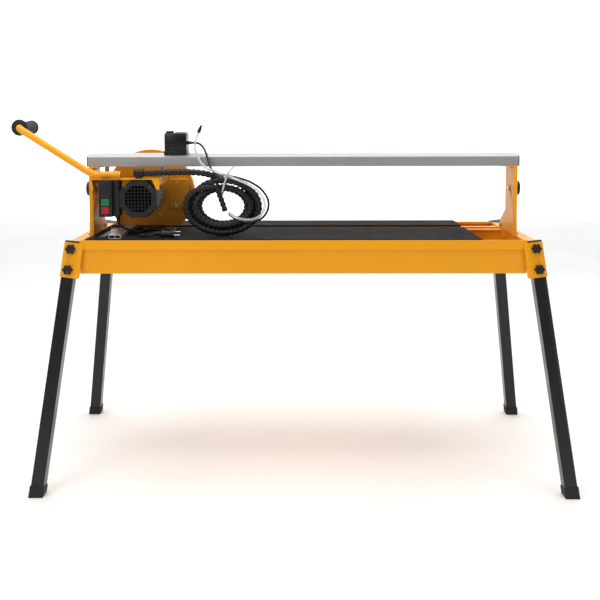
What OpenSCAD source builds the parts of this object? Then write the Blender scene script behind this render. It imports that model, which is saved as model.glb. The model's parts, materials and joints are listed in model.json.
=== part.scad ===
// Bridge tile saw on four splayed legs. Millimetres, +Z up, the operator stands at -Y.
// The origin is on the floor, under the middle of the saw's outline.

/* [Frame] */
// Length of the frame over its two end rails
frame_l = 1442; // [1340:1:1740]
// Depth of the frame over its two side rails
frame_w = 530; // [500:1:640]
// Height of the table top above the floor
table_h = 760; // [620:1:920]
// Height of a side rail
side_h = 106; // [90:1:125]
// Height of the raised band along a side rail
band_h = 28; // [20:1:34]
// Distance by which the band stands out from the apron
band_out = 6; // [3:1:9]
// Width of an end rail
end_w = 37; // [30:1:45]
// Height of an end rail
end_h = 60; // [45:1:75]
// Thickness of the folded steel sheet
sheet = 3; // [2:0.5:4]

/* [Legs] */
// Outside width of the square leg tube
leg_tube = 38; // [32:0.1:46]
// Wall of the leg tube
leg_wall = 2; // [1.5:0.5:3]
// Outward lean of a leg along the length, from top to floor
splay_x = 95; // [40:1:130]
// Outward lean of a leg along the depth, from top to floor
splay_y = 108; // [40:1:140]
// Length of the folded bracket that holds a leg
bracket_h = 107; // [95:1:130]
// Radius of a leg knob's stud
stud_r = 4; // [3:0.5:5]

/* [Table] */
// Thickness of a table panel with its rubber face
panel_t = 6; // [4:0.5:8]
// Length of the table panels
panel_l = 1207; // [1000:1:1300]
// Width of the slot that the blade runs in
slot_w = 52; // [46:1:60]
// Distance from the middle of the frame back to the cutting line
cut_y = 45; // [30:1:60]
// Height of the water tray's wall
tray_h = 44; // [30:1:50]

/* [Bridge] */
// Height of the guide rail's underside above the table
rail_lift = 215; // [205:1:260]
// Width of the guide rail
rail_w = 120; // [100:1:140]
// Depth of the guide rail's section
rail_t = 40; // [34:1:50]
// Wall of the guide rail
rail_wall = 4; // [3:0.5:5]
// Distance from the cutting line forward to the guide rail's middle
rail_ahead = 125; // [118:1:140]
// Width of a tilting arm's plate
arm_w = 134; // [120:1:150]
// Radius of a tilt pivot bolt
pivot_r = 6; // [5:0.5:8]
// Largest tilt of the bridge in degrees
tilt_max = 45; // [30:1:45]

/* [Carriage] */
// Length of the carriage plate
carriage_l = 218; // [200:1:240]
// Distance between the carriage's two roller posts
post_gap = 180; // [150:1:195]
// Radius of a roller
roller_r = 8; // [6:0.5:10]
// Radius of the handle tube
handle_r = 11; // [9:0.5:13]

/* [Saw head] */
// Diameter of the diamond blade
blade_d = 250; // [200:1:250]
// Thickness of the blade
blade_t = 2.4; // [1.8:0.1:3]
// Depth by which the blade dips below the table top
blade_dip = 8; // [4:1:10]
// Gap between the blade's rim and the inside of the guard
guard_gap = 20; // [12:1:24]
// Width of the blade guard
guard_w = 40; // [36:1:42]
// Radius of the motor over its fins
motor_r = 52; // [46:1:54]
// Length of the finned motor housing
motor_l = 130; // [110:1:134]
// Radius of the motor spindle
spindle_r = 8; // [6:0.1:10]
// Width of the fan cover across its flats
cover_w = 117; // [110:1:118]

/* [Fits] */
// Clearance between two pieces that move past each other
gap = 0.3; // [0.25:0.05:0.5]
// Radial clearance of a shaft that turns in its bore
run = 0.05; // [0.02:0.01:0.1]

/* [Hidden] */
$fn = 48;

yellow = "orange";
silver = "silver";
fine = 0.01; // overshoot of a cutting shape past the face that it cuts
far = 2000;  // reach of a cutting shape that only has to be larger than the saw

// Levels and edges of the frame
half_l = frame_l / 2;
half_w = frame_w / 2;
mat_proud = 3;
rail_top = table_h - mat_proud;
panel_z = table_h - panel_t;
end_top = rail_top - 7;
side_low = rail_top - side_h + mat_proud;
ledge_w = 22;
foot_flange_w = 24;

// Legs: the middle of a tube's top end, and the two turns that lean it outward
leg_top_x = half_l - end_w + leg_tube / 2;
leg_top_y = half_w - leg_tube / 2;
leg_top_z = end_top - 2;
cap_t = 5;
cap_over = 2;
side_half = leg_top_x - leg_tube / 2 - cap_over - 1.5;
foot_wall = 2.5;
foot_floor = 4;
foot_h = 30;
knob_drop = [20, 83];
knob_r = 16;
knob_t = 13;
lean_y = atan(splay_x / leg_top_z);
lean_x = atan(splay_y / norm([splay_x, leg_top_z]));
leg_l = norm([splay_x, splay_y, leg_top_z]);
// Sides of the frame: [along the length, along the depth], -1 is left or front
corners = [[-1, -1], [1, -1], [-1, 1], [1, 1]];

// Bridge
pivot_y = cut_y;
pivot_head_r = pivot_r + 4;
bracket_t = 4;
pivot_z = end_top + bracket_t + pivot_head_r + gap;
rail_z = table_h + rail_lift;
rail_mid_y = cut_y - rail_ahead;
rail_front = rail_mid_y - rail_w / 2;
rail_half = half_l - end_w + 2;
rail_end_t = 4;
rail_bevel = 18;
rail_face = rail_t - 9;
track_w = 30;
track_h = 26;
arm_in = half_l - end_w - 9;
arm_t = 5;
arm_front = rail_front;
arm_low = rail_top - 5;
arm_flange = 25;
bracket_in = arm_in + arm_t + gap;
arm_fold = 8;
fold_t = 4;
// Lock knobs: the stud's arc stays behind the fold along the arm's front edge
lock_stud_r = 5;
lock_slot_r = 5.5;
lock_head_r = 8;
lock_knob_r = 23.5;
lock_angle = 52;
lock_reach = pivot_y - arm_front - fold_t - lock_head_r - 1;
knob_y = pivot_y - lock_reach * cos(lock_angle);
knob_z = pivot_z + lock_reach * sin(lock_angle);

// Carriage, its place along the rail with the saw head parked at the left
head_x = 208 - half_l;
plate_x = head_x - 152.7;
plate_t = 3;
plate_top = rail_z - 35;
plate_front = rail_front - 50;
plate_back = rail_front + 120;
post_x = plate_x + 31;
post_r = 7;
axle_r = 3;
roller_z = rail_z + rail_wall + roller_r + run;
roller_w = 10;
roller_y = 28;
handle_y = rail_front - 38;
handle_bend_x = plate_x + 8;
grip_x = -half_l - 169;
grip_z = rail_z + 125;
grip_l = 125;
grip_near_r = 26;

// Saw head
head_z = table_h - blade_dip + blade_d / 2;
guard_r = blade_d / 2 + guard_gap + 2;
guard_low = table_h + 8;
guard_front = cut_y - guard_w / 2 - 1;
guard_wall = 2;
bell_l = 44;
housing_front = guard_front - bell_l - motor_l;
cover_l = 45;
cover_front = housing_front - cover_l;
cover_wall = 3;
grille_r = 43;
grille_bar = 2;
grille_pitch = 10.5;
motor_core_r = motor_r - 6;

// Switch box
box_x = head_x - 119;
box_w = 41;
box_front = cover_front - 19;
box_back = housing_front;
box_low = plate_top - plate_t - 114;
button_w = 25;
button_h = 22;
button_z = [box_low + 20, box_low + 45];
button_travel = 3;
button_proud = 3;
button_l = 11;

// The whole outline, which sets where the origin is
function leg_point(side, u, v, t) = let(
    a = side[1] * lean_x, b = -side[0] * lean_y,
    p = [u, v, t],
    q = [p[0], p[1] * cos(a) - p[2] * sin(a), p[1] * sin(a) + p[2] * cos(a)],
    r = [q[0] * cos(b) + q[2] * sin(b), q[1], -q[0] * sin(b) + q[2] * cos(b)])
  [side[0] * leg_top_x, side[1] * leg_top_y, leg_top_z] + r;
function floor_x(u, v) = let(p = leg_point([1, 1], u, v, -leg_l + 60), q = leg_point([1, 1], u, v, -leg_l))
  p[0] + (q[0] - p[0]) * p[2] / (p[2] - q[2]);
foot_half = leg_tube / 2 + foot_wall;
right_edge = max(floor_x(foot_half, foot_half), floor_x(foot_half, -foot_half));
left_edge = grip_x - grip_near_r;
origin_x = -(right_edge + left_edge) / 2;

// Cords. Each route is a list of [x, y, z] points, measured from the frame's middle line.
harness_r = 10;
lines_r = 3.5;
hose_r = 4;
mains_r = 3.75;
coil_low = table_h + gap;
// Harness: from its gland on the carriage to the coil
harness_route = [[-495, -178, 958], [-465, -178, 958], [-430, -178, 959], [-395, -178, 960],
  [-360, -178, 960], [-325, -178, 958], [-292, -178, 952], [-262, -178, 940]];
// Harness: its far end, which hangs down inside the coil and lets the pump's lines out
tail_route = [[-268, -208, 922], [-262, -209, 905], [-255, -209, 885], [-248, -209, 865], [-240, -209, 840]];
// Pump cable: from the pump, round the coil, to the harness end
cable_route = [[-367, -110, 1050], [-350, -111, 1050], [-332, -116, 1048], [-316, -130, 1036],
  [-305, -148, 1018], [-298, -160, 998], [-290, -172, 978], [-278, -186, 962], [-256, -200, 953],
  [-228, -208, 950], [-196, -209, 943], [-160, -209, 930], [-128, -209, 908], [-108, -209, 878],
  [-107, -209, 848], [-122, -209, 822], [-148, -209, 808], [-178, -209, 806], [-206, -207, 814],
  [-230, -206, 831]];
// Pump hose: the same way, in front of the cable, with a free end above the guide rail
hose_route = [[-322, -160, 1094], [-330, -160, 1074], [-338, -160, 1052], [-338, -160, 1030],
  [-330, -161, 1008], [-319, -168, 989], [-305, -180, 976], [-286, -196, 968], [-262, -210, 961],
  [-230, -218, 950], [-198, -219, 938], [-166, -219, 924], [-138, -219, 904], [-120, -219, 876],
  [-118, -219, 850], [-130, -219, 828], [-152, -219, 816], [-180, -219, 815], [-206, -218, 822],
  [-230, -216, 837]];
// Mains lead: from the switch box to its coil, and from the coil to the plug
mains_route = [[-580, -175, 813], [-580, -175, 802], [-573, -171, 789], [-560, -163, 780],
  [-545, -152, 773], [-530, -138, 767], [-518, -122, 764.5], [-511, -108, 764.5]];
plug_route = [[-434, -112, 764.5], [-438, -130, 764.5], [-452, -148, 764.5], [-474, -160, 764.5],
  [-496, -173, 764.5], [-508, -193, 764.5], [-502, -215, 764.5], [-482, -228, 767], [-458, -231, 771],
  [-440, -231, 773.5]];
spline_steps = 2;
cord_sides = 8;

harness_coil_at = [-250, -178, coil_low];
harness_coil_r = 92;
harness_coil_hole = 32;
harness_coil_half = 32;
harness_coil_t = 44;
mains_coil_at = [-470, -75, coil_low];
mains_coil_r = 37.5;
mains_coil_band = 30;
mains_coil_t = 15;
plug_l = 45;
plug_r = 13;

function unit(v) = v / norm(v);
function blend_point(a, b, c, d, t) = 0.5 * (2 * b + (c - a) * t
  + (2 * a - 5 * b + 4 * c - d) * t * t + (3 * b - a - 3 * c + d) * t * t * t);
function smooth_route(route) = let(last = len(route) - 1) concat(
  [for (i = [0:last - 1], s = [0:spline_steps - 1])
    blend_point(route[max(i - 1, 0)], route[i], route[i + 1], route[min(i + 2, last)], s / spline_steps)],
  [route[last]]);
function heading(line, i) = unit(line[min(i + 1, len(line) - 1)] - line[max(i - 1, 0)]);

// Moves a piece from the frame's own middle to the saw's origin
module placed() {
  translate([origin_x, 0, 0]) children();
}

// A tube of radius r swept along a route; across is any direction that no stretch runs along
module cord(route, r, across) {
  line = smooth_route(route);
  rings = [for (i = [0:len(line) - 1]) let(
      t = heading(line, i), a = unit(cross(t, across)), b = cross(t, a))
    each [for (k = [0:cord_sides - 1]) line[i]
      + r * (a * cos(360 * k / cord_sides) + b * sin(360 * k / cord_sides))]];
  count = len(line);
  sides = [for (i = [0:count - 2], k = [0:cord_sides - 1])
    [i * cord_sides + k, i * cord_sides + (k + 1) % cord_sides,
     (i + 1) * cord_sides + (k + 1) % cord_sides, (i + 1) * cord_sides + k]];
  first = [[for (k = [cord_sides - 1:-1:0]) k]];
  last = [[for (k = [0:cord_sides - 1]) (count - 1) * cord_sides + k]];
  polyhedron(rings, concat(sides, first, last));
}

// Extrudes a [y, z] outline along X from x0 to x1
module along_x(x0, x1) {
  translate([x0, 0, 0]) rotate([90, 0, 90]) linear_extrude(x1 - x0) children();
}
// Extrudes an [x, z] outline along Y from y0 to y1
module along_y(y0, y1) {
  translate([0, y1, 0]) rotate([90, 0, 0]) linear_extrude(y1 - y0) children();
}
module rod_x(x0, x1, y, z, r) {
  translate([x0, y, z]) rotate([0, 90, 0]) cylinder(h = x1 - x0, r = r);
}
module rod_y(x, y0, y1, z, r) {
  translate([x, y1, z]) rotate([90, 0, 0]) cylinder(h = y1 - y0, r = r);
}
// A round bar from point a to point b
module bar(a, b, r) {
  d = b - a;
  translate(a) rotate([0, acos(d[2] / norm(d)), atan2(d[1], d[0])]) cylinder(h = norm(d), r = r);
}
// Puts a piece at both ends: drawn for the right side, and mirrored for the left
module both_ends() {
  children();
  mirror([1, 0, 0]) children();
}
// Places a piece in a leg's own frame: x and y point outward, and -z runs down the leg
module leg_frame(side) {
  translate([side[0] * leg_top_x, side[1] * leg_top_y, leg_top_z])
    rotate([side[1] * lean_x, -side[0] * lean_y, 0])
      scale_side(side) children();
}
module scale_side(side) {
  mirror([side[0] < 0 ? 1 : 0, 0, 0]) mirror([0, side[1] < 0 ? 1 : 0, 0]) children();
}

// ---- Frame ----

// A side rail's section, from its top outer edge down and round to the inside of its wall
function side_outline(top) = let(step = band_out / 2, apron = half_w - band_out) [
  [half_w, top], [half_w, rail_top - band_h], [apron, rail_top - band_h - step],
  [apron, side_low], [apron - foot_flange_w, side_low], [apron - foot_flange_w, side_low + sheet],
  [apron - sheet, side_low + sheet], [apron - sheet, rail_top - band_h - step + sheet],
  [half_w - sheet, rail_top - band_h + sheet]];
// The front rail has a lip above a ledge, and the table's front edge sits behind the lip
module front_rail() {
  wall = half_w - sheet;
  color(yellow) placed() mirror([0, 1, 0]) along_x(-side_half, side_half)
    polygon(concat(side_outline(rail_top), [[wall, panel_z - sheet], [wall - ledge_w, panel_z - sheet],
      [wall - ledge_w, panel_z], [wall, panel_z], [wall, rail_top]]));
}
// The rear rail is lower, and a turned-up lip on its flange carries the table's back edge
rear_lip = half_w - sheet - ledge_w - 20;
module rear_rail() {
  wall = half_w - sheet;
  color(yellow) placed() along_x(-side_half, side_half)
    polygon(concat(side_outline(end_top), [[wall, end_top - sheet], [rear_lip, end_top - sheet],
      [rear_lip, panel_z], [rear_lip + sheet, panel_z], [rear_lip + sheet, end_top]]));
}
module end_rail(side) {
  reach = leg_top_y - leg_tube / 2 - sheet;
  color(yellow) placed() difference() {
    translate([side > 0 ? half_l - end_w : -half_l, -reach, end_top - end_h])
      cube([end_w, 2 * reach, end_h]);
    translate([(side > 0 ? half_l - end_w : -half_l) + sheet, -far, end_top - end_h + sheet])
      cube([end_w - 2 * sheet, 2 * far, end_h - 2 * sheet]);
  }
}
module end_rail_left() {
  end_rail(-1);
}
module end_rail_right() {
  end_rail(1);
}

// A plate round three sides of a leg, with holes for the two knob studs
module leg_bracket() {
  half = leg_tube / 2;
  lap = 16;
  tie = 26;
  difference() {
    union() {
      translate([-half - lap, half, -bracket_h]) cube([2 * half + lap + sheet, sheet, bracket_h]);
      translate([half, -half, -bracket_h]) cube([sheet, 2 * half + fine, bracket_h]);
      translate([-half - sheet, -half - tie, -bracket_h]) cube([sheet, 2 * half + tie + fine, bracket_h]);
    }
    for (drop = knob_drop) rod_y(0, half - sheet, half + 2 * sheet, -drop, stud_r + run);
  }
}
module leg_brackets() {
  color(yellow) placed() for (side = corners) leg_frame(side) leg_bracket();
}
module leg(side) {
  half = leg_tube / 2;
  color("#222222") placed() difference() {
    leg_frame(side) difference() {
      translate([-half, -half, -leg_l - leg_tube]) cube([leg_tube, leg_tube, leg_l + leg_tube]);
      translate([-half + leg_wall, -half + leg_wall, -far])
        cube([leg_tube - 2 * leg_wall, leg_tube - 2 * leg_wall, 2 * far]);
      for (drop = knob_drop) rod_y(0, -leg_tube, leg_tube, -drop, stud_r + run);
    }
    translate([-far, -far, foot_floor - far]) cube([2 * far, 2 * far, far]);
  }
}
module leg_front_left() {
  leg(corners[0]);
}
module leg_front_right() {
  leg(corners[1]);
}
module leg_rear_left() {
  leg(corners[2]);
}
module leg_rear_right() {
  leg(corners[3]);
}
module leg_caps() {
  half = leg_tube / 2 + cap_over;
  color("#383838") placed() for (side = corners) leg_frame(side)
    translate([-half, -half, 0]) cube([2 * half, 2 * half, cap_t]);
}
module leg_feet() {
  half = leg_tube / 2;
  color("#1c1c1c") placed() for (side = corners) difference() {
    leg_frame(side) translate([-foot_half, -foot_half, -leg_l - leg_tube])
      cube([2 * foot_half, 2 * foot_half, leg_tube + foot_h]);
    difference() {
      leg_frame(side) translate([-half, -half, -far]) cube([leg_tube, leg_tube, 2 * far]);
      translate([-far, -far, foot_floor - far]) cube([2 * far, 2 * far, far]);
    }
    translate([-far, -far, -far]) cube([2 * far, 2 * far, far]);
  }
}

// A six-lobed knob on a stud that passes through the bracket and the leg
module leg_knob(side, level) {
  half = leg_tube / 2;
  face = half + sheet + gap;
  lobe_r = 5;
  lobe_at = knob_r - lobe_r;
  z = -knob_drop[level];
  color("#262626") placed() leg_frame(side) {
    for (k = [0:5]) rod_y(lobe_at * cos(60 * k), face, face + knob_t, z + lobe_at * sin(60 * k), lobe_r);
    rod_y(0, face, face + knob_t, z, lobe_at + 1);
    rod_y(0, -half - 4, face + fine, z, stud_r);
  }
}
module knob_front_left_top() {
  leg_knob(corners[0], 0);
}
module knob_front_left_low() {
  leg_knob(corners[0], 1);
}
module knob_front_right_top() {
  leg_knob(corners[1], 0);
}
module knob_front_right_low() {
  leg_knob(corners[1], 1);
}
module knob_rear_left_top() {
  leg_knob(corners[2], 0);
}
module knob_rear_left_low() {
  leg_knob(corners[2], 1);
}
module knob_rear_right_top() {
  leg_knob(corners[3], 0);
}
module knob_rear_right_low() {
  leg_knob(corners[3], 1);
}

// ---- Table and tray ----

slot_front = cut_y - 19;
slot_back = slot_front + slot_w;
panel_x = -half_l + end_w + 22;
rear_panel_w = rear_lip + sheet - slot_back;

module front_table() {
  front = -half_w + sheet + gap;
  color("#333333") placed() translate([panel_x, front, panel_z])
    cube([panel_l, slot_front - front, panel_t]);
}
module rear_table() {
  color("#333333") placed() translate([panel_x, slot_back, panel_z])
    cube([panel_l, rear_panel_w, panel_t]);
}
// Two angles along the slot, with a tongue at each end that is welded to the end rail
module slot_rails() {
  web_low = side_low + sheet + tray_h;
  flange = 21;
  end_x = arm_in - 5;
  tongue_top = end_top - 20;
  color(yellow) placed() for (back = [0, 1])
    translate([0, back ? slot_back : slot_front, 0]) mirror([0, back ? 1 : 0, 0]) {
      along_x(-end_x, end_x) polygon([[0, web_low], [0, panel_z], [-flange, panel_z],
        [-flange, panel_z - sheet], [-sheet, panel_z - sheet], [-sheet, web_low]]);
      translate([-half_l + end_w, -sheet, web_low])
        cube([2 * (half_l - end_w), sheet, tongue_top - web_low]);
    }
}
tray_half_l = half_l - end_w - 44;
tray_half_w = half_w - band_out - sheet - 2;
drain_x = half_l - 221;
drain_r = 10;
module water_tray() {
  low = side_low + sheet;
  color("#c06a10") placed() difference() {
    translate([-tray_half_l, -tray_half_w, low]) cube([2 * tray_half_l, 2 * tray_half_w, tray_h]);
    translate([-tray_half_l + sheet, -tray_half_w + sheet, low + sheet])
      cube([2 * (tray_half_l - sheet), 2 * (tray_half_w - sheet), tray_h]);
    translate([drain_x, 0, low - fine]) cylinder(h = 2 * sheet, r = drain_r + run);
  }
}
module drain_plug() {
  low = side_low + sheet;
  flange_r = 15;
  color("#202020") placed() translate([drain_x, 0, 0]) {
    translate([0, 0, low - 2 * sheet - gap]) cylinder(h = 2 * sheet, r = flange_r);
    translate([0, 0, low - gap - fine]) cylinder(h = 2 * sheet, r = drain_r);
  }
}
// A two-cell aluminium bar that lies across the table
fence_at = [128 - half_l, 8 - half_w];
fence_size = [37, 257, 13];
module fence() {
  wall = 2;
  cell = (fence_size[0] - 3 * wall) / 2;
  color(silver) placed() translate([fence_at[0], fence_at[1], table_h + gap]) difference() {
    cube(fence_size);
    for (k = [0, 1]) translate([wall + k * (cell + wall), -fine, wall])
      cube([cell, fence_size[1] + 2 * fine, fence_size[2] - 2 * wall]);
  }
}
// A black steel angle that lies beside the fence
stop_at = [81 - half_l, 30 - half_w];
stop_size = [28, 205, 14];
module angle_stop() {
  color("#202020") placed() translate([stop_at[0], stop_at[1], table_h]) {
    cube([stop_size[0], stop_size[1], sheet]);
    cube([sheet, stop_size[1], stop_size[2]]);
  }
}

// ---- Tilting bridge ----

// A bracket on an end rail: a pivot ear at the back and a post for the lock knob in front
module tilt_brackets() {
  post_w = 30;
  ear = 20;
  foot_w = 22;
  strip_top = pivot_z;
  color(yellow) placed() both_ends() difference() {
    union() {
      along_x(bracket_in, bracket_in + bracket_t) union() {
        translate([knob_y - post_w / 2, end_top])
          square([pivot_y + ear - knob_y + post_w / 2, strip_top - end_top]);
        translate([knob_y - post_w / 2, end_top]) square([post_w, knob_z + post_w / 2 - end_top]);
        translate([pivot_y - ear, end_top]) square([2 * ear, pivot_z - end_top + ear]);
      }
      translate([bracket_in, knob_y - post_w / 2, end_top])
        cube([foot_w, pivot_y + ear - knob_y + post_w / 2, bracket_t]);
    }
    rod_x(bracket_in - fine, bracket_in + 2 * bracket_t, knob_y, knob_z, lock_stud_r + run);
    rod_x(bracket_in - fine, bracket_in + 2 * bracket_t, pivot_y, pivot_z, pivot_r);
  }
}
// Bolts fast in the brackets; the arms turn on their shanks
module pivot_bolts() {
  head_t = 5;
  color(silver) placed() both_ends() {
    rod_x(arm_in - gap, bracket_in + bracket_t + fine, pivot_y, pivot_z, pivot_r);
    rod_x(bracket_in + bracket_t, bracket_in + bracket_t + head_t, pivot_y, pivot_z, pivot_head_r);
    rod_x(arm_in - gap - head_t, arm_in - gap, pivot_y, pivot_z, pivot_head_r);
  }
}
// The guide rail's outline, with its crowned top
module rail_outline() {
  half = rail_w / 2;
  translate([rail_mid_y, rail_z]) polygon([[-half, 0], [half, 0], [half, rail_face],
    [half - rail_bevel, rail_t], [-half + rail_bevel, rail_t], [-half, rail_face]]);
}
rail_bolt_in = 15; // from the rail's edge to its bolts
rail_bolt_y = [rail_front + rail_bolt_in, rail_front + rail_w - rail_bolt_in];
rail_bolt_x = arm_in - 13;
rail_bolt_r = 3;
module guide_rail() {
  half = rail_w / 2;
  inner = half - rail_wall;
  color(silver) placed() difference() {
    along_x(-rail_half + rail_end_t, rail_half - rail_end_t) difference() {
      rail_outline();
      translate([rail_mid_y - inner, rail_z + rail_wall]) square([2 * inner, track_h]);
      translate([rail_mid_y - track_w / 2, rail_z - fine]) square([track_w, 2 * rail_wall]);
    }
    for (y = rail_bolt_y, s = [-1, 1]) translate([s * rail_bolt_x, y, rail_z - fine])
      cylinder(h = 2 * rail_wall, r = rail_bolt_r);
  }
}
module rail_end_caps() {
  chamfer = 6;
  x = rail_half - rail_end_t;
  color("#a8a8a8") placed() both_ends() difference() {
    along_x(x, rail_half) rail_outline();
    translate([rail_half, -far, rail_z + rail_t - chamfer]) rotate([0, -45, 0]) cube([far, 2 * far, far]);
  }
}
// The points of the arc along which the lock stud passes through an arm
function slot_point(angle) = let(y = knob_y - pivot_y, z = knob_z - pivot_z)
  [pivot_y + y * cos(angle) - z * sin(angle), pivot_z + z * cos(angle) + y * sin(angle)];
module arm(side) {
  ear = 18;
  low = arm_low;
  start = 180 - lock_angle;
  color(yellow) placed() mirror([side < 0 ? 1 : 0, 0, 0]) difference() {
    union() {
      along_x(arm_in, arm_in + arm_t) polygon([[arm_front, low], [arm_front, rail_z],
        [arm_front + arm_w, rail_z], [arm_front + arm_w, pivot_z + 60], [pivot_y + ear, pivot_z + ear],
        [pivot_y + ear, pivot_z - ear + 6], [arm_front + arm_w, low]]);
      translate([arm_in - arm_fold, arm_front, low]) cube([arm_fold + fine, fold_t, rail_z - low]);
      translate([arm_in - arm_flange, arm_front, rail_z - sheet]) cube([arm_flange + fine, rail_w, sheet]);
    }
    rod_x(arm_in - fine, arm_in + 2 * arm_t, pivot_y, pivot_z, pivot_r + run);
    for (y = rail_bolt_y) translate([rail_bolt_x, y, rail_z - 2 * sheet])
      cylinder(h = 3 * sheet, r = rail_bolt_r);
    intersection() {
      along_x(arm_in - fine, arm_in + 2 * arm_t) translate([pivot_y, pivot_z]) difference() {
        circle(r = lock_reach + lock_slot_r, $fn = 180);
        circle(r = lock_reach - lock_slot_r, $fn = 180);
      }
      along_x(arm_in - fine, arm_in + 2 * arm_t) translate([pivot_y, pivot_z])
        polygon([[0, 0], 2 * lock_reach * [cos(start), sin(start)],
          2 * lock_reach * [cos(start + tilt_max / 2), sin(start + tilt_max / 2)],
          2 * lock_reach * [cos(start + tilt_max), sin(start + tilt_max)]]);
    }
    for (angle = [0, tilt_max]) rod_x(arm_in - fine, arm_in + 2 * arm_t,
      slot_point(angle)[0], slot_point(angle)[1], lock_slot_r);
  }
}
module arm_left() {
  arm(-1);
}
module arm_right() {
  arm(1);
}
module rail_bolts() {
  head_t = 4;
  color(silver) placed() for (y = rail_bolt_y, s = [-1, 1]) translate([s * rail_bolt_x, y, 0]) {
    translate([0, 0, rail_z - sheet - head_t]) cylinder(h = head_t, r = 2 * rail_bolt_r);
    translate([0, 0, rail_z - sheet - fine]) cylinder(h = sheet + rail_wall + 2, r = rail_bolt_r);
  }
}
// A round lock knob outside the bracket, with its stud and the head inside the arm
module tilt_knob(side) {
  knob_in = bracket_in + bracket_t + gap;
  boss_t = 5;
  disc_t = 16;
  head_t = 5;
  x1 = knob_in + boss_t;
  color("#262626") placed() mirror([side < 0 ? 1 : 0, 0, 0]) {
    rod_x(knob_in, x1 + fine, knob_y, knob_z, lock_knob_r / 2);
    rod_x(x1, x1 + disc_t, knob_y, knob_z, lock_knob_r);
    rod_x(arm_in - gap - fine, knob_in + fine, knob_y, knob_z, lock_stud_r);
    rod_x(arm_in - gap - head_t, arm_in - gap, knob_y, knob_z, lock_head_r);
  }
}
module tilt_knob_left() {
  tilt_knob(-1);
}
module tilt_knob_right() {
  tilt_knob(1);
}

// ---- Carriage ----

// A folded plate under the guide rail, with a gusset at each end of its front edge
module carriage_plate() {
  gusset_h = 32;
  gusset_w = 23;
  gusset_low = 9;
  x1 = plate_x + carriage_l;
  low = plate_top - plate_t;
  color(yellow) placed() difference() {
    union() {
      translate([plate_x, plate_front, low]) cube([carriage_l, plate_back - plate_front, plate_t]);
      along_y(plate_front + 2, plate_front + 2 + plate_t) {
        polygon([[x1 - gusset_w, low + fine], [x1, low + fine], [x1, low - gusset_h],
          [x1 - gusset_low, low - gusset_h]]);
        polygon([[plate_x, low + fine], [plate_x + 6, low + fine], [plate_x + 12, low - gusset_h],
          [plate_x + 6, low - gusset_h]]);
      }
      for (x = [plate_x, x1 - plate_t]) translate([x, plate_front + 2, low - 18])
        cube([plate_t, plate_back - plate_front - 2, 18 + fine]);
    }
    for (x = [post_x, post_x + post_gap]) translate([x, rail_mid_y, low - fine])
      cylinder(h = 2 * plate_t, r = post_r);
  }
}
// Posts that reach up through the rail's slot and hold the roller axles
module roller_posts() {
  color(silver) placed() for (x = [post_x, post_x + post_gap]) difference() {
    union() {
      translate([x, rail_mid_y, plate_top - plate_t])
        cylinder(h = roller_z + roller_r - plate_top, r = post_r);
      translate([x, rail_mid_y, plate_top]) cylinder(h = 2 * plate_t, r = post_r + 4);
    }
    rod_y(x, rail_mid_y - 2 * post_r, rail_mid_y + 2 * post_r, roller_z, axle_r + run);
  }
}
// Two rollers fast on one axle
module roller_pair(x) {
  color("#d8d8d8") placed() {
    rod_y(x, rail_mid_y - roller_y + fine, rail_mid_y + roller_y - fine, roller_z, axle_r);
    rod_y(x, rail_mid_y - roller_y, rail_mid_y - roller_y + roller_w, roller_z, roller_r);
    rod_y(x, rail_mid_y + roller_y - roller_w, rail_mid_y + roller_y, roller_z, roller_r);
  }
}
module rollers_left() {
  roller_pair(post_x);
}
module rollers_right() {
  roller_pair(post_x + post_gap);
}
weld = 0.6; // how far a bend stands out from the tube
handle_z = plate_top + handle_r + weld;
grip_front = handle_y + 13;
// A bent tube on a saddle: along the plate, up to the left, then back through the grip
module handle_tube() {
  end_x = plate_x + 95;
  route = [[end_x, handle_y, handle_z], [handle_bend_x, handle_y, handle_z],
    [grip_x, handle_y, grip_z], [grip_x, grip_front + grip_l - 5, grip_z]];
  saddle_w = 24;
  color(yellow) placed() {
    for (k = [0:2]) bar(route[k], route[k + 1], handle_r);
    for (k = [1, 2]) translate(route[k]) sphere(r = handle_r + weld);
    for (x = [handle_bend_x + 6, end_x - saddle_w - 6]) translate([x, handle_y - 8, plate_top])
      cube([saddle_w, 16, handle_r / 2 + weld]);
  }
}
// A turned grip with a flange at each end
module handle_grip() {
  waist_r = 20;
  far_r = grip_near_r - 2.5;
  flange_t = 8;
  color("#262626") placed() translate([grip_x, grip_front, grip_z]) rotate([-90, 0, 0]) rotate_extrude()
    polygon([[handle_r, 0], [grip_near_r - 3, 0], [grip_near_r, flange_t / 2], [grip_near_r - 3, flange_t],
      [waist_r - 2, 2 * flange_t], [waist_r, grip_l / 2], [waist_r - 2, grip_l - 2 * flange_t],
      [far_r - 2, grip_l - flange_t], [far_r, grip_l - flange_t / 2], [far_r - 2, grip_l],
      [handle_r, grip_l]]);
}

// ---- Saw head ----

module motor_housing() {
  fins = 28;
  fin_t = 2.5;
  flange_t = 6;
  core = motor_core_r - 8;
  foot_w = 60;
  back = housing_front + motor_l;
  color(silver) placed() difference() {
    union() {
      rod_y(head_x, housing_front, back, head_z, motor_core_r);
      rod_y(head_x, housing_front, housing_front + flange_t, head_z, motor_r + 5);
      translate([head_x, 0, head_z]) for (k = [0:fins - 1]) rotate([0, (k + 0.5) * 360 / fins, 0])
        translate([-fin_t / 2, housing_front + flange_t - fine, 0])
          cube([fin_t, motor_l - flange_t, motor_r]);
      translate([head_x - foot_w / 2, housing_front + 12, head_z + motor_core_r - 10])
        cube([foot_w, motor_l - 30, plate_top - plate_t - head_z - motor_core_r + 10]);
    }
    rod_y(head_x, housing_front + 10, back - 8, head_z, core);
    rod_y(head_x, housing_front - fine, back + fine, head_z, spindle_r + run);
  }
}
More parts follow.
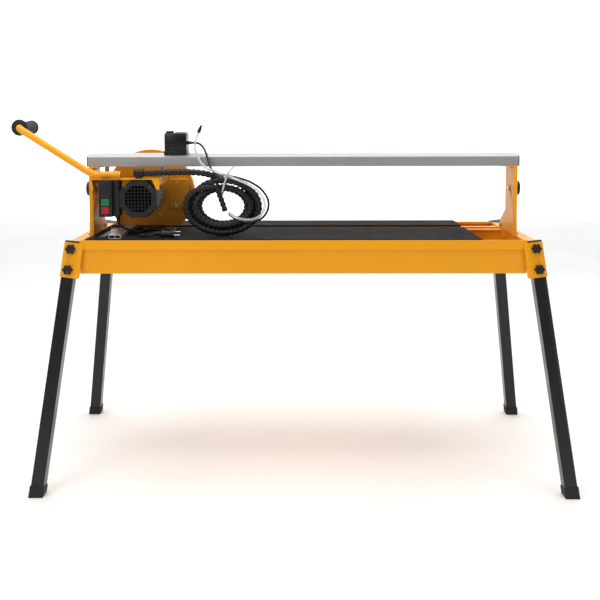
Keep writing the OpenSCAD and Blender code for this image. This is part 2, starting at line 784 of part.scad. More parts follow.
// The motor's drive-side bell, which the blade guard is bolted to
module motor_bell() {
  mid = guard_front - 12;
  color(silver) placed() difference() {
    union() {
      rod_y(head_x, guard_front - bell_l, mid, head_z, motor_r);
      rod_y(head_x, mid - fine, guard_front, head_z, motor_r - 12);
    }
    rod_y(head_x, guard_front - bell_l + 8, guard_front - 8, head_z, motor_r - 18);
    rod_y(head_x, guard_front - bell_l - fine, guard_front + fine, head_z, spindle_r + run);
  }
}
// An eight-sided cover with a square grid in its round mouth
module fan_cover() {
  bore_r = cover_w / 2 - 5;
  color("#202020") placed() difference() {
    translate([head_x, housing_front, head_z]) rotate([90, 22.5, 0])
      cylinder(h = cover_l, r = cover_w / 2 / cos(22.5), $fn = 8);
    rod_y(head_x, cover_front + cover_wall, housing_front + fine, head_z, bore_r);
    difference() {
      rod_y(head_x, cover_front - fine, cover_front + 2 * cover_wall, head_z, grille_r);
      for (k = [-4:4]) {
        translate([head_x + k * grille_pitch - grille_bar / 2, cover_front, head_z - grille_r - 2])
          cube([grille_bar, cover_wall, 2 * grille_r + 4]);
        translate([head_x - grille_r - 2, cover_front, head_z + k * grille_pitch - grille_bar / 2])
          cube([2 * grille_r + 4, cover_wall, grille_bar]);
      }
    }
  }
}
spindle_front = cover_front + 10;
module cooling_fan() {
  vanes = 6;
  hub_r = spindle_r + 6;
  vane_t = 3;
  width = 20;
  color("#303030") placed() translate([head_x, spindle_front + 4, head_z]) difference() {
    union() {
      rotate([-90, 0, 0]) cylinder(h = width, r = hub_r);
      for (k = [0:vanes - 1]) rotate([0, (k + 0.5) * 360 / vanes, 0])
        translate([-vane_t / 2, 2, hub_r - 2]) cube([vane_t, width - 4, motor_core_r - hub_r]);
    }
    rotate([-90, 0, 0]) translate([0, 0, -fine]) cylinder(h = width + 1, r = spindle_r);
  }
}
nut_t = 7;
flange_t = 6;
flange_r = 30;
module spindle() {
  tip = cut_y + blade_t / 2 + flange_t;
  color("#c8c8c8") placed() {
    rod_y(head_x, spindle_front, tip, head_z, spindle_r);
    translate([head_x, tip + nut_t, head_z]) rotate([90, 0, 0])
      cylinder(h = nut_t + fine, r = spindle_r + 5, $fn = 6);
  }
}
module blade() {
  gullets = 16;
  rim = 8;
  color("#9a9a9a") placed() translate([head_x, cut_y, head_z]) rotate([90, 0, 0]) difference() {
    cylinder(h = blade_t, r = blade_d / 2, center = true, $fn = 120);
    cylinder(h = 2 * blade_t, r = spindle_r, center = true);
    for (k = [0:gullets - 1]) rotate([0, 0, k * 360 / gullets]) translate([blade_d / 2 - rim, -1, -blade_t])
      cube([2 * rim, 2, 2 * blade_t]);
  }
}
module blade_flanges() {
  color(silver) placed() for (y = [cut_y - blade_t / 2 - flange_t, cut_y + blade_t / 2]) difference() {
    rod_y(head_x, y, y + flange_t, head_z, flange_r);
    rod_y(head_x, y - fine, y + flange_t + fine, head_z, spindle_r);
  }
}
// A round hood over the blade, cut flat above the table and open below
module blade_guard() {
  inside = guard_w - 2 * guard_wall;
  hole_r = spindle_r + 6;
  color(yellow) placed() difference() {
    rod_y(head_x, guard_front, guard_front + guard_w, head_z, guard_r, $fn = 120);
    rod_y(head_x, guard_front + guard_wall, guard_front + guard_wall + inside, head_z,
      guard_r - guard_wall, $fn = 120);
    rod_y(head_x, guard_front - fine, guard_front + 2 * guard_wall, head_z, hole_r);
    translate([-far, -far, guard_low - far]) cube([2 * far, 2 * far, far]);
  }
}
module switch_box() {
  pocket = 0.5;
  deep = button_l - button_proud + button_travel + 2;
  gland_r = 7;
  gland_l = 10;
  top = plate_top - plate_t;
  side_w = head_x - cover_w / 2 - gap - box_x - box_w;
  color("#1e1e1e") placed() difference() {
    union() {
      translate([box_x, box_front, box_low]) cube([box_w, box_back - box_front, top - box_low]);
      translate([box_x + box_w - fine, box_front + 14, box_low])
        cube([side_w, box_back - box_front - 14, top - box_low]);
      translate([box_x + 52, box_front + 39, box_low - gland_l]) cylinder(h = gland_l + fine, r = gland_r);
    }
    for (z = button_z)
      translate([box_x + (box_w - button_w) / 2 - pocket, box_front - fine, z - button_h / 2 - pocket])
      cube([button_w + 2 * pocket, deep, button_h + 2 * pocket]);
  }
}
module push_button(z, shade) {
  color(shade) placed() translate([box_x + (box_w - button_w) / 2, box_front - button_proud, z - button_h / 2])
    cube([button_w, button_l, button_h]);
}
module start_button() {
  push_button(button_z[1], "#1f7a4a");
}
module stop_button() {
  push_button(button_z[0], "#b02030");
}

// ---- Pump, cords and plug ----

pump_at = [head_x + 71, rail_mid_y - 50];
pump_size = [74, 68, 66];
module water_pump() {
  color("#222222") placed() translate([pump_at[0], pump_at[1], rail_z + rail_t + gap]) {
    cube([pump_size[0], pump_size[1], pump_size[2]]);
    translate([18, 18, pump_size[2] - fine]) cylinder(h = 7, r = 13);
    translate([36, 6, pump_size[2] - fine]) cube([34, 54, 4]);
    translate([pump_size[0] - fine, 20, 35 - gap]) rotate([0, 90, 0]) cylinder(h = 1 + fine, r = 6);
  }
}
module harness_gland() {
  gland_l = 34;
  end = [head_x + 18, handle_y, plate_top + 18];
  color("#1c1c1c") placed() {
    rod_x(end[0] - gland_l, end[0], end[1], end[2], harness_r + 3);
    translate([end[0] - 27, end[1] - 9, plate_top]) cube([20, 18, end[2] - plate_top]);
  }
}
module harness_lead() {
  color("#262626") placed() {
    cord(harness_route, harness_r, [0, 1, 0]);
    cord(tail_route, harness_r - 1, [0, 1, 0]);
  }
}
// The wound harness, as the closed outline of its turns
module harness_coil() {
  module ring(r, half) {
    for (s = [-1, 1]) translate([s * half, 0]) circle(r = r, $fn = 64);
    square([2 * half, 2 * r], center = true);
  }
  color("#2a2a2a") placed() translate(harness_coil_at + [0, 0, harness_coil_r])
    rotate([90, 0, 0]) linear_extrude(harness_coil_t, center = true) difference() {
      ring(harness_coil_r, harness_coil_half);
      ring(harness_coil_hole, harness_coil_half);
    }
}
module pump_lead() {
  color("#303030") placed() {
    cord(cable_route, lines_r, [0, 1, 0.2]);
    cord(hose_route, hose_r, [0, 1, 0.2]);
  }
}
module mains_lead() {
  color("#1c1c1c") placed() {
    cord(mains_route, mains_r, [1, -1, 0]);
    cord(plug_route, mains_r, [0, 0, 1]);
  }
}
module mains_coil() {
  color("#202020") placed() translate(mains_coil_at) rotate_extrude()
    translate([mains_coil_r - mains_coil_band / 2, 0]) square([mains_coil_band, mains_coil_t]);
}
module mains_plug() {
  last = plug_route[len(plug_route) - 1];
  pin_l = 19;
  pin_r = 2.4;
  pin_gap = 19;
  color("#1c1c1c") placed() translate([last[0], last[1], coil_low + plug_r + 0.2]) {
    rotate([0, 90, 0]) cylinder(h = plug_l, r = plug_r);
    for (s = [-1, 1]) rotate([25, 0, 0]) translate([plug_l - fine, s * pin_gap / 2, 0]) rotate([0, 90, 0])
      cylinder(h = pin_l, r = pin_r);
  }
}

front_rail();
rear_rail();
end_rail_left();
end_rail_right();
leg_brackets();
leg_front_left();
leg_front_right();
leg_rear_left();
leg_rear_right();
leg_caps();
leg_feet();
front_table();
rear_table();
slot_rails();
water_tray();
drain_plug();
tilt_brackets();
pivot_bolts();
knob_front_left_top();
knob_front_left_low();
knob_front_right_top();
knob_front_right_low();
knob_rear_left_top();
knob_rear_left_low();
knob_rear_right_top();
knob_rear_right_low();
fence();
angle_stop();
guide_rail();
rail_end_caps();
arm_left();
arm_right();
rail_bolts();
tilt_knob_left();
tilt_knob_right();
carriage_plate();
roller_posts();
rollers_left();
rollers_right();
handle_tube();
handle_grip();
motor_housing();
motor_bell();
fan_cover();
cooling_fan();
spindle();
blade();
blade_flanges();
switch_box();
start_button();
stop_button();
blade_guard();
water_pump();
harness_gland();
harness_lead();
harness_coil();
pump_lead();
mains_lead();
mains_coil();
mains_plug();
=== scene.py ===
import json
import math

import bmesh
import bpy
from mathutils import Matrix, Vector


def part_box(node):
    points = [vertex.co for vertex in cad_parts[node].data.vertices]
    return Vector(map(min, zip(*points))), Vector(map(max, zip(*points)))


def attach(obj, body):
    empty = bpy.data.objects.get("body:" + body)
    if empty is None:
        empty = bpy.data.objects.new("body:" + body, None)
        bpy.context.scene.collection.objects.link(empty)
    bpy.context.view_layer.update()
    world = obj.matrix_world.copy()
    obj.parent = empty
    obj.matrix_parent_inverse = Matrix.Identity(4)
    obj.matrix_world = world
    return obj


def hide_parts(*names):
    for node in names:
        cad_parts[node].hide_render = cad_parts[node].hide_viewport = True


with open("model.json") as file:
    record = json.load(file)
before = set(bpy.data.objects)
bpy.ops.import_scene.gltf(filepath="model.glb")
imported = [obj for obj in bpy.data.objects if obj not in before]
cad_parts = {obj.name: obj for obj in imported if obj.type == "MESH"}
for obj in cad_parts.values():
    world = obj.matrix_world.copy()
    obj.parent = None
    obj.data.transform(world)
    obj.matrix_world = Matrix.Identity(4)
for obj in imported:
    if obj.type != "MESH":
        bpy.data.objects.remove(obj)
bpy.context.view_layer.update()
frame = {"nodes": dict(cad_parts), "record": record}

MM = 0.001
scene = bpy.context.scene
NODES = frame["nodes"]
LEG_KNOBS = [name for name in NODES if name.startswith("knob_")]

# The frame's own middle, from which the cord routes are measured in millimetres
MIDDLE_X = (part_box("end_rail_left")[0].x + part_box("end_rail_right")[1].x) / 2


def at(x, y, z):
    """A point given in millimetres from the frame's middle line, in the row frame."""
    return Vector((MIDDLE_X + x * MM, y * MM, z * MM))


# ---------------------------------------------------------------- camera

CAMERA_AT = Vector((MIDDLE_X - 0.0038, -2.7526, 1.1153))
CAMERA_YAW = 0.011
CAMERA_PITCH = 0.0701
CAMERA_ROLL = 0.0026
CAMERA_LENS = 49.53
CAMERA_SHIFT = (0.0128, -0.2)
SENSOR_WIDTH = 36
FARTHEST_SEEN = 50


def make_camera():
    """The photograph's viewpoint: in front of the saw, a little above its rail, looking slightly down."""
    data = bpy.data.cameras.new("camera")
    data.sensor_width = SENSOR_WIDTH
    data.lens = CAMERA_LENS
    data.shift_x, data.shift_y = CAMERA_SHIFT
    data.clip_end = FARTHEST_SEEN
    camera = bpy.data.objects.new("camera", data)
    turn = Matrix.Rotation(CAMERA_YAW, 4, "Z") @ Matrix.Rotation(math.pi / 2 - CAMERA_PITCH, 4, "X")
    camera.matrix_world = Matrix.Translation(CAMERA_AT) @ turn @ Matrix.Rotation(-CAMERA_ROLL, 4, "Z")
    scene.collection.objects.link(camera)
    scene.camera = camera


make_camera()


# ---------------------------------------------------------------- mesh helpers

def finish_piece(name, bm, body, material, smooth=True):
    """Turns a bmesh into a piece that rides on a body."""
    mesh = bpy.data.meshes.new(name)
    bmesh.ops.recalc_face_normals(bm, faces=bm.faces)
    bm.to_mesh(mesh)
    bm.free()
    piece = bpy.data.objects.new(name, mesh)
    scene.collection.objects.link(piece)
    mesh.materials.append(material)
    if smooth:
        mesh.shade_smooth()
    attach(piece, body)
    return piece


def sharpen(piece, degrees):
    """Keeps the edges that turn by more than an angle crisp under smooth shading."""
    piece.data.set_sharp_from_angle(angle=math.radians(degrees))


def add_box(bm, low, high, round_by=0.0):
    """A box between two corners, its edges rounded if asked."""
    low, high = Vector(low), Vector(high)
    verts = bmesh.ops.create_cube(bm, size=1)["verts"]
    scale = Matrix.Diagonal((*(high - low), 1))
    bmesh.ops.transform(bm, matrix=Matrix.Translation((low + high) / 2) @ scale, verts=verts)
    if round_by:
        edges = {e for v in verts for e in v.link_edges}
        bmesh.ops.bevel(bm, geom=list(edges), offset=round_by, segments=3, affect="EDGES", profile=0.5)


def frame_along(axis):
    """A turn that brings local Z onto an axis."""
    return Vector((0, 0, 1)).rotation_difference(Vector(axis).normalized()).to_matrix().to_4x4()


def add_lathe(bm, profile, centre, axis, steps=48, lobes=0, depth=0.0):
    """Spins a profile of (radius, height) about an axis. lobes cuts a wavy rim, depth deep."""
    place = Matrix.Translation(centre) @ frame_along(axis)
    rim = max(point[0] for point in profile)
    rings = []
    for radius, height in profile:
        ring = []
        for k in range(steps):
            a = 2 * math.pi * k / steps
            wave = 1 - depth * (0.5 - 0.5 * math.cos(lobes * a)) * (radius / rim) ** 4 if lobes else 1
            p = Vector((radius * wave * math.cos(a), radius * wave * math.sin(a), height))
            ring.append(bm.verts.new(place @ p))
        rings.append(ring)
    for below, above in zip(rings, rings[1:]):
        for k in range(steps):
            n = (k + 1) % steps
            bm.faces.new((below[k], below[n], above[n], above[k]))
    bm.faces.new(rings[0][::-1])
    bm.faces.new(rings[-1])


def add_hex(bm, centre, axis, across, height):
    """A chamfered hexagon head."""
    r = across / 2 / math.cos(math.pi / 6)
    add_lathe(bm, [(r, 0), (r, height * 0.8), (r * 0.88, height)], centre, axis, steps=6)


def catmull(points, steps):
    """A smooth line through given points."""
    line = []
    last = len(points) - 1
    for i in range(last):
        a, b, c, d = (points[max(i - 1, 0)], points[i], points[i + 1], points[min(i + 2, last)])
        for s in range(steps):
            t = s / steps
            line.append(0.5 * (2 * b + (c - a) * t + (2 * a - 5 * b + 4 * c - d) * t * t
                               + (3 * b - a - 3 * c + d) * t ** 3))
    line.append(points[last])
    return line


def resample(line, step):
    """The same line with points an even step apart."""
    lengths = [0.0]
    for a, b in zip(line, line[1:]):
        lengths.append(lengths[-1] + (b - a).length)
    count = max(2, round(lengths[-1] / step))
    out, i = [], 0
    for k in range(count + 1):
        want = lengths[-1] * k / count
        while i < len(line) - 2 and lengths[i + 1] < want:
            i += 1
        span = lengths[i + 1] - lengths[i] or 1.0
        out.append(line[i].lerp(line[i + 1], (want - lengths[i]) / span))
    return out


def add_tube(bm, line, radius_at, sides=16):
    """Sweeps a round section along a line with no twist. radius_at takes the distance along it."""
    last = len(line) - 1
    tangents = [(line[min(i + 1, last)] - line[max(i - 1, 0)]).normalized() for i in range(len(line))]
    across = tangents[0].orthogonal().normalized()
    rings, along = [], 0.0
    for i, (p, t) in enumerate(zip(line, tangents)):
        if i:
            across = tangents[i - 1].rotation_difference(t) @ across
            across = (across - t * across.dot(t)).normalized()
            along += (p - line[i - 1]).length
        other = t.cross(across)
        r = radius_at(along)
        rings.append([bm.verts.new(p + r * (across * math.cos(a) + other * math.sin(a)))
                      for a in (2 * math.pi * k / sides for k in range(sides))])
    for below, above in zip(rings, rings[1:]):
        for k in range(sides):
            n = (k + 1) % sides
            bm.faces.new((below[k], below[n], above[n], above[k]))
    bm.faces.new(rings[0][::-1])
    bm.faces.new(rings[-1])


# ---------------------------------------------------------------- materials

class Nodes:
    """Builds a shader from small steps."""

    def __init__(self, name):
        self.material = bpy.data.materials.new(name)
        self.material.use_nodes = True
        self.tree = self.material.node_tree
        self.tree.nodes.clear()
        self.output = self.make("ShaderNodeOutputMaterial")
        self.shader = self.make("ShaderNodeBsdfPrincipled")
        self.link(self.shader.outputs["BSDF"], self.output.inputs["Surface"])
        self.where = self.make("ShaderNodeTexCoord").outputs["Object"]

    def make(self, kind, **values):
        node = self.tree.nodes.new(kind)
        for key, value in values.items():
            setattr(node, key, value)
        return node

    def link(self, a, b):
        self.tree.links.new(a, b)

    def stretched(self, scale):
        mapping = self.make("ShaderNodeMapping")
        mapping.inputs["Scale"].default_value = scale
        self.link(self.where, mapping.inputs["Vector"])
        return mapping.outputs["Vector"]

    def noise(self, scale, detail=4.0, rough=0.6, vector=None):
        node = self.make("ShaderNodeTexNoise")
        node.inputs["Scale"].default_value = scale
        node.inputs["Detail"].default_value = detail
        node.inputs["Roughness"].default_value = rough
        self.link(vector or self.where, node.inputs["Vector"])
        return node.outputs["Fac"]

    def band(self, value, low, high, out_low=0.0, out_high=1.0):
        node = self.make("ShaderNodeMapRange")
        node.inputs["From Min"].default_value = low
        node.inputs["From Max"].default_value = high
        node.inputs["To Min"].default_value = out_low
        node.inputs["To Max"].default_value = out_high
        self.link(value, node.inputs["Value"])
        return node.outputs["Result"]

    def mix(self, factor, a, b):
        node = self.make("ShaderNodeMix", data_type="RGBA")
        self.link(factor, node.inputs["Factor"])
        for socket, value in ((node.inputs[6], a), (node.inputs[7], b)):
            if isinstance(value, tuple):
                socket.default_value = (*value, 1)
            else:
                self.link(value, socket)
        return node.outputs[2]

    def bump(self, height, strength, distance=0.001):
        node = self.make("ShaderNodeBump")
        node.inputs["Strength"].default_value = strength
        node.inputs["Distance"].default_value = distance
        self.link(height, node.inputs["Height"])
        self.link(node.outputs["Normal"], self.shader.inputs["Normal"])

    def set(self, **values):
        for key, value in values.items():
            socket = self.shader.inputs[key.replace("_", " ")]
            if isinstance(value, tuple):
                socket.default_value = (*value, 1)
            elif isinstance(value, (int, float)):
                socket.default_value = value
            else:
                self.link(value, socket)


def linear(r, g, b):
    """A colour given as 0 to 255 screen values."""
    return tuple(((c / 255 + 0.055) / 1.055) ** 2.4 if c > 10 else c / 255 / 12.92 for c in (r, g, b))


def painted(name, colour, worn, rough=0.34, coat=0.25, grain=320.0):
    """Powder paint: faint orange peel, a little colour drift, and scuffs."""
    n = Nodes(name)
    drift = n.mix(n.band(n.noise(2.2, 3), 0.3, 0.7), tuple(0.9 * c for c in colour), colour)
    dust = n.mix(n.band(n.noise(9.0, 8, 0.7), 0.56, 0.74, 0.0, 0.32), drift, tuple(0.72 * c for c in colour))
    scratch = n.band(n.noise(26.0, 10, 0.75, n.stretched((1.0, 1.0, 6.0))), 0.69, 0.74, 0.0, 0.6)
    n.set(Base_Color=n.mix(scratch, dust, worn), Metallic=0.0,
          Roughness=n.band(n.noise(14.0, 6), 0.3, 0.7, rough - 0.07, rough + 0.1),
          Coat_Weight=coat, Coat_Roughness=0.22, Specular_IOR_Level=0.32)
    n.bump(n.noise(grain, 2), 0.12, 0.0006)
    return n.material


def plastic(name, colour, rough=0.45, grain=900.0, strength=0.25, shine=0.4):
    """Moulded plastic or rubber with a fine grain and dusty patches."""
    n = Nodes(name)
    dull, fresh = tuple(0.8 * c for c in colour), tuple(1.15 * c for c in colour)
    drift = n.mix(n.band(n.noise(12.0, 4), 0.3, 0.7), dull, fresh)
    dust = n.mix(n.band(n.noise(30.0, 8, 0.7), 0.58, 0.8, 0.0, 0.28), drift, linear(70, 67, 63))
    n.set(Base_Color=dust, Roughness=n.band(n.noise(24.0, 6), 0.3, 0.7, rough - 0.09, rough + 0.12),
          Specular_IOR_Level=shine)
    n.bump(n.noise(grain, 3), strength, 0.0004)
    return n.material


def metal(name, colour, rough=0.3, along=(1.0, 60.0, 60.0), stain=0.35, strength=0.1):
    """Bare metal with brushing in one direction, stains and small dents."""
    n = Nodes(name)
    brush = n.noise(18.0, 6, 0.7, n.stretched(along))
    stains = n.band(n.noise(6.0, 8, 0.65), 0.5, 0.72, 0.0, stain)
    base = n.mix(n.band(brush, 0.3, 0.7), tuple(0.86 * c for c in colour), colour)
    n.set(Base_Color=n.mix(stains, base, tuple(0.6 * c for c in colour)), Metallic=0.92,
          Roughness=n.band(brush, 0.3, 0.7, rough - 0.08, rough + 0.1))
    n.bump(brush, strength, 0.0004)
    return n.material


YELLOW = linear(246, 164, 0)
BARE_STEEL = linear(120, 112, 104)
mat_frame = painted("frame_paint", YELLOW, linear(150, 104, 40), rough=0.42, coat=0.12)
mat_guard = painted("guard_paint", linear(240, 158, 0), linear(150, 108, 50), rough=0.44)
mat_leg = painted("leg_enamel", linear(13, 13, 14), linear(58, 56, 54), rough=0.3, coat=0.2)
mat_stop = painted("stop_enamel", linear(24, 24, 25), BARE_STEEL, rough=0.42, coat=0.1)
mat_black = plastic("black_plastic", linear(15, 15, 16), 0.42)
mat_cap = plastic("leg_cap_plastic", linear(44, 44, 45), 0.5)
mat_foot = plastic("foot_rubber", linear(28, 28, 29), 0.7, 500.0)
mat_pad = plastic("table_rubber", linear(30, 30, 31), 0.86, 420.0, 0.4, 0.12)
mat_grip = plastic("grip_rubber", linear(24, 24, 25), 0.56, 600.0, 0.35)
mat_harness = plastic("harness_black", linear(20, 20, 21), 0.42, 700.0)
mat_lead = plastic("cord_black", linear(16, 16, 17), 0.42, 900.0, 0.15)
mat_start = plastic("start_green", linear(22, 116, 66), 0.38, 900.0, 0.1)
mat_stop_button = plastic("stop_red", linear(172, 26, 36), 0.38, 900.0, 0.1)
mat_pump = plastic("pump_black", linear(14, 14, 15), 0.26, 1200.0, 0.06)
mat_tie = plastic("tie_white", linear(206, 204, 198), 0.42, 900.0, 0.1)
mat_rail = metal("rail_aluminium", linear(190, 188, 184), 0.36, (0.6, 60.0, 60.0), 0.16)
mat_end = metal("end_cap_grey", linear(150, 148, 146), 0.46, (40.0, 3.0, 40.0), 0.25)
mat_motor = metal("motor_aluminium", linear(186, 184, 182), 0.42, (20.0, 20.0, 20.0), 0.3, 0.3)
mat_zinc = metal("zinc_steel", linear(196, 194, 188), 0.28, (30.0, 30.0, 30.0), 0.25)
mat_blade = metal("blade_steel", linear(150, 150, 152), 0.3, (50.0, 50.0, 4.0), 0.4)
mat_fence = metal("fence_aluminium", linear(204, 203, 200), 0.32, (50.0, 0.8, 50.0), 0.15)


def clear_hose(name):
    """Clear PVC: a frosted skin that lets light through."""
    n = Nodes(name)
    tint = n.mix(n.band(n.noise(40.0, 4), 0.3, 0.7), linear(214, 216, 212), linear(232, 232, 226))
    n.set(Base_Color=tint, Roughness=n.band(n.noise(60.0, 4), 0.3, 0.7, 0.12, 0.25),
          Transmission_Weight=0.55, IOR=1.12)
    n.bump(n.noise(300.0, 2), 0.1, 0.0003)
    return n.material


mat_hose = clear_hose("hose_clear")

LOOKS = {
    mat_frame: ["front_rail", "rear_rail", "end_rail_left", "end_rail_right", "leg_brackets", "slot_rails",
                "water_tray", "tilt_brackets", "arm_left", "arm_right", "carriage_plate", "handle_tube"],
    mat_guard: ["blade_guard"],
    mat_leg: ["leg_front_left", "leg_front_right", "leg_rear_left", "leg_rear_right"],
    mat_stop: ["angle_stop"],
    mat_cap: ["leg_caps"],
    mat_foot: ["leg_feet"],
    mat_pad: ["front_table", "rear_table"],
    mat_black: ["drain_plug", "tilt_knob_left", "tilt_knob_right", "fan_cover", "cooling_fan", "switch_box",
                "water_pump", "harness_gland", "mains_plug"]
    + LEG_KNOBS,
    mat_grip: ["handle_grip"],
    mat_rail: ["guide_rail"],
    mat_end: ["rail_end_caps"],
    mat_motor: ["motor_housing", "motor_bell"],
    mat_zinc: ["pivot_bolts", "rail_bolts", "roller_posts", "rollers_left", "rollers_right", "spindle",
               "blade_flanges"],
    mat_blade: ["blade"],
    mat_fence: ["fence"],
    mat_start: ["start_button"],
    mat_stop_button: ["stop_button"],
    mat_harness: ["harness_lead", "harness_coil"],
    mat_lead: ["pump_lead", "mains_lead", "mains_coil"],
}
for look, names in LOOKS.items():
    for name in names:
        NODES[name].data.materials.clear()
        NODES[name].data.materials.append(look)


# ---------------------------------------------------------------- cords

# Points made between two points of a route
ROUTE_STEPS = 8
HARNESS_STEPS = 6
MAINS_STEPS = 5
# Distance between the rings of a plain cord
CORD_STEP = 0.003
CORD_SIDES = 14
LINKED_SIDES = 20


def route(points):
    """A listed route, given in millimetres from the frame's middle line, in metres."""
    return [at(*p) for p in points]


# Routes, as in the CAD. Only the last point before the mains coil is moved, for an easier bend.
HARNESS_ROUTE = [(-495, -178, 958), (-465, -178, 958), (-430, -178, 959), (-395, -178, 960),
                 (-360, -178, 960), (-325, -178, 958), (-292, -178, 952), (-262, -178, 940)]
TAIL_ROUTE = [(-268, -208, 922), (-262, -209, 905), (-255, -209, 885), (-248, -209, 865), (-240, -209, 840)]
CABLE_ROUTE = [(-367, -110, 1050), (-350, -111, 1050), (-332, -116, 1048), (-316, -130, 1036),
               (-305, -148, 1018), (-298, -160, 998), (-290, -172, 978), (-278, -186, 962), (-256, -200, 953),
               (-228, -208, 950), (-196, -209, 943), (-160, -209, 930), (-128, -209, 908), (-108, -209, 878),
               (-107, -209, 848), (-122, -209, 822), (-148, -209, 808), (-178, -209, 806), (-206, -207, 814),
               (-230, -206, 831)]
HOSE_ROUTE = [(-322, -160, 1094), (-330, -160, 1074), (-338, -160, 1052), (-338, -160, 1030),
              (-330, -161, 1008), (-319, -168, 989), (-305, -180, 976), (-286, -196, 968), (-262, -210, 961),
              (-230, -218, 950), (-198, -219, 938), (-166, -219, 924), (-138, -219, 904), (-120, -219, 876),
              (-118, -219, 850), (-130, -219, 828), (-152, -219, 816), (-180, -219, 815), (-206, -218, 822),
              (-230, -216, 837)]
MAINS_ROUTE = [(-580, -175, 813), (-580, -175, 802), (-573, -171, 789), (-560, -163, 780),
               (-545, -152, 773), (-530, -138, 767), (-518, -122, 764.5), (-517, -102.5, 764.3)]
PLUG_ROUTE = [(-434, -112, 764.5), (-438, -130, 764.5), (-452, -148, 764.5), (-474, -160, 764.5),
              (-496, -173, 764.5), (-508, -193, 764.5), (-502, -215, 764.5), (-482, -228, 767),
              (-458, -231, 771), (-440, -231, 773.5)]
MAINS_R = 0.0035
CABLE_R = 0.0035
HOSE_R = 0.004
# The harness's links' length, their radius on the main run and on the hanging end,
# and the depth of the waist between two links
HARNESS_LINK = 0.015
LINK_R = 0.0102
TAIL_LINK_R = 0.0090
WAIST_DEPTH = 0.0019


def smooth_step(t):
    t = min(max(t, 0.0), 1.0)
    return t * t * (3 - 2 * t)


# The wound harness: half-width and half-height of each turn, and the layer that it lies in
HARNESS_TURNS = [(101, 76, 0), (114, 82, 1), (86, 60.5, 1), (75, 55.5, 0)]
HARNESS_X, HARNESS_BACK_Y, HARNESS_Z = -250, -167.5, 852.4
LAYER_DEPTH = 21.5
# Degrees between two points, over which one turn passes into the next, and over which the first one starts
TURN_STEP = 12
TURN_CHANGE = 70
TURN_START = 60
# How far in front of the first turn and above it the harness arrives
START_FRONT, START_ABOVE = 8, 6


def harness_turns():
    """Four oval turns, two at the back and two in front, each let into the next over a fifth of a turn."""
    points = []
    last = len(HARNESS_TURNS) - 1
    for degrees in range(TURN_STEP, 360 * len(HARNESS_TURNS) + 1, TURN_STEP):
        turn = min(degrees // 360, last)
        after = HARNESS_TURNS[min(turn + 1, last)]
        share = smooth_step((degrees - 360 * (turn + 1) + TURN_CHANGE) / TURN_CHANGE)
        across, tall, layer = (u + (v - u) * share for u, v in zip(HARNESS_TURNS[turn], after))
        a = math.radians(degrees)
        start = 1 - smooth_step((degrees - TURN_STEP) / TURN_START)
        points.append((HARNESS_X + across * math.sin(a),
                       HARNESS_BACK_Y - LAYER_DEPTH * layer - START_FRONT * start,
                       HARNESS_Z + tall * math.cos(a) + START_ABOVE * start))
    return points


def linked(radius):
    """The radius along a chain of short links, each with a waist after it."""
    def at_distance(s):
        t = (s / HARNESS_LINK) % 1.0
        return radius - WAIST_DEPTH * (smooth_step((t - 0.62) / 0.08) - smooth_step((t - 0.92) / 0.08))
    return at_distance


def sweep(name, line, radius_at, body, material, sides=16):
    """A piece swept along a line."""
    bm = bmesh.new()
    add_tube(bm, line, radius_at, sides)
    return finish_piece(name, bm, body, material)


harness_line = resample(catmull(route(HARNESS_ROUTE + harness_turns()), HARNESS_STEPS), HARNESS_LINK / 12)
harness = sweep("harness", harness_line, linked(LINK_R), "carriage", mat_harness,
                LINKED_SIDES)
tail_line = resample(catmull(route(TAIL_ROUTE), ROUTE_STEPS), HARNESS_LINK / 12)
tail = sweep("harness_end", tail_line, linked(TAIL_LINK_R), "carriage", mat_harness,
             LINKED_SIDES)
for piece in (harness, tail):
    sharpen(piece, 40)
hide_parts("harness_lead", "harness_coil")

cable_line = resample(catmull(route(CABLE_ROUTE), ROUTE_STEPS), CORD_STEP)


def sleeve(length, radius):
    """A cord's radius with a tapered sleeve where it starts."""
    return lambda s: radius * (1 + 0.6 * (1 - smooth_step(s / length)))


cable = sweep("pump_cable", cable_line, sleeve(0.022, CABLE_R), "carriage", mat_lead)
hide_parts("pump_lead")

hose_line = resample(catmull(route(HOSE_ROUTE), ROUTE_STEPS), CORD_STEP)
hose = sweep("pump_hose", hose_line, lambda s: HOSE_R, "carriage", mat_hose)
bm = bmesh.new()
hose_up = (hose_line[0] - hose_line[2]).normalized()
add_lathe(bm, [(0.0052, -0.012), (0.0056, -0.011), (0.0056, 0.001), (0.0048, 0.003), (0.0036, 0.008),
               (0.0026, 0.013), (0.0024, 0.0135)], hose_line[0], hose_up, steps=20)
hose_tip = finish_piece("hose_nozzle", bm, "carriage", mat_black)

# The mains lead: from the switch box into a coil four turns wide and two high, and on to its plug.
# Places and radii are in millimetres, and lengths along the coil in turns.
MAINS_COIL_X, MAINS_COIL_Y = -470, -75
COIL_OUTER = 48.9
COIL_STEP = 6.97
COIL_LOW_Z, COIL_HIGH_Z = 763.95, 770.9
COIL_STARTS = 219
COIL_TURNS = 6.736
COIL_POINTS = 24
COIL_FIRST_POINT = 2
# The spiral turns back after this many turns, eased over this much on either side
COIL_INMOST, COIL_EASE = 3.25, 0.3
# The climb to the upper layer, and the way back down, where the lead also runs outwards
COIL_CLIMB, COIL_CLIMB_LENGTH = 3.0, 0.5
COIL_DROP, COIL_DROP_LENGTH = 6.5, 0.236
COIL_DROP_OUT = 3.0


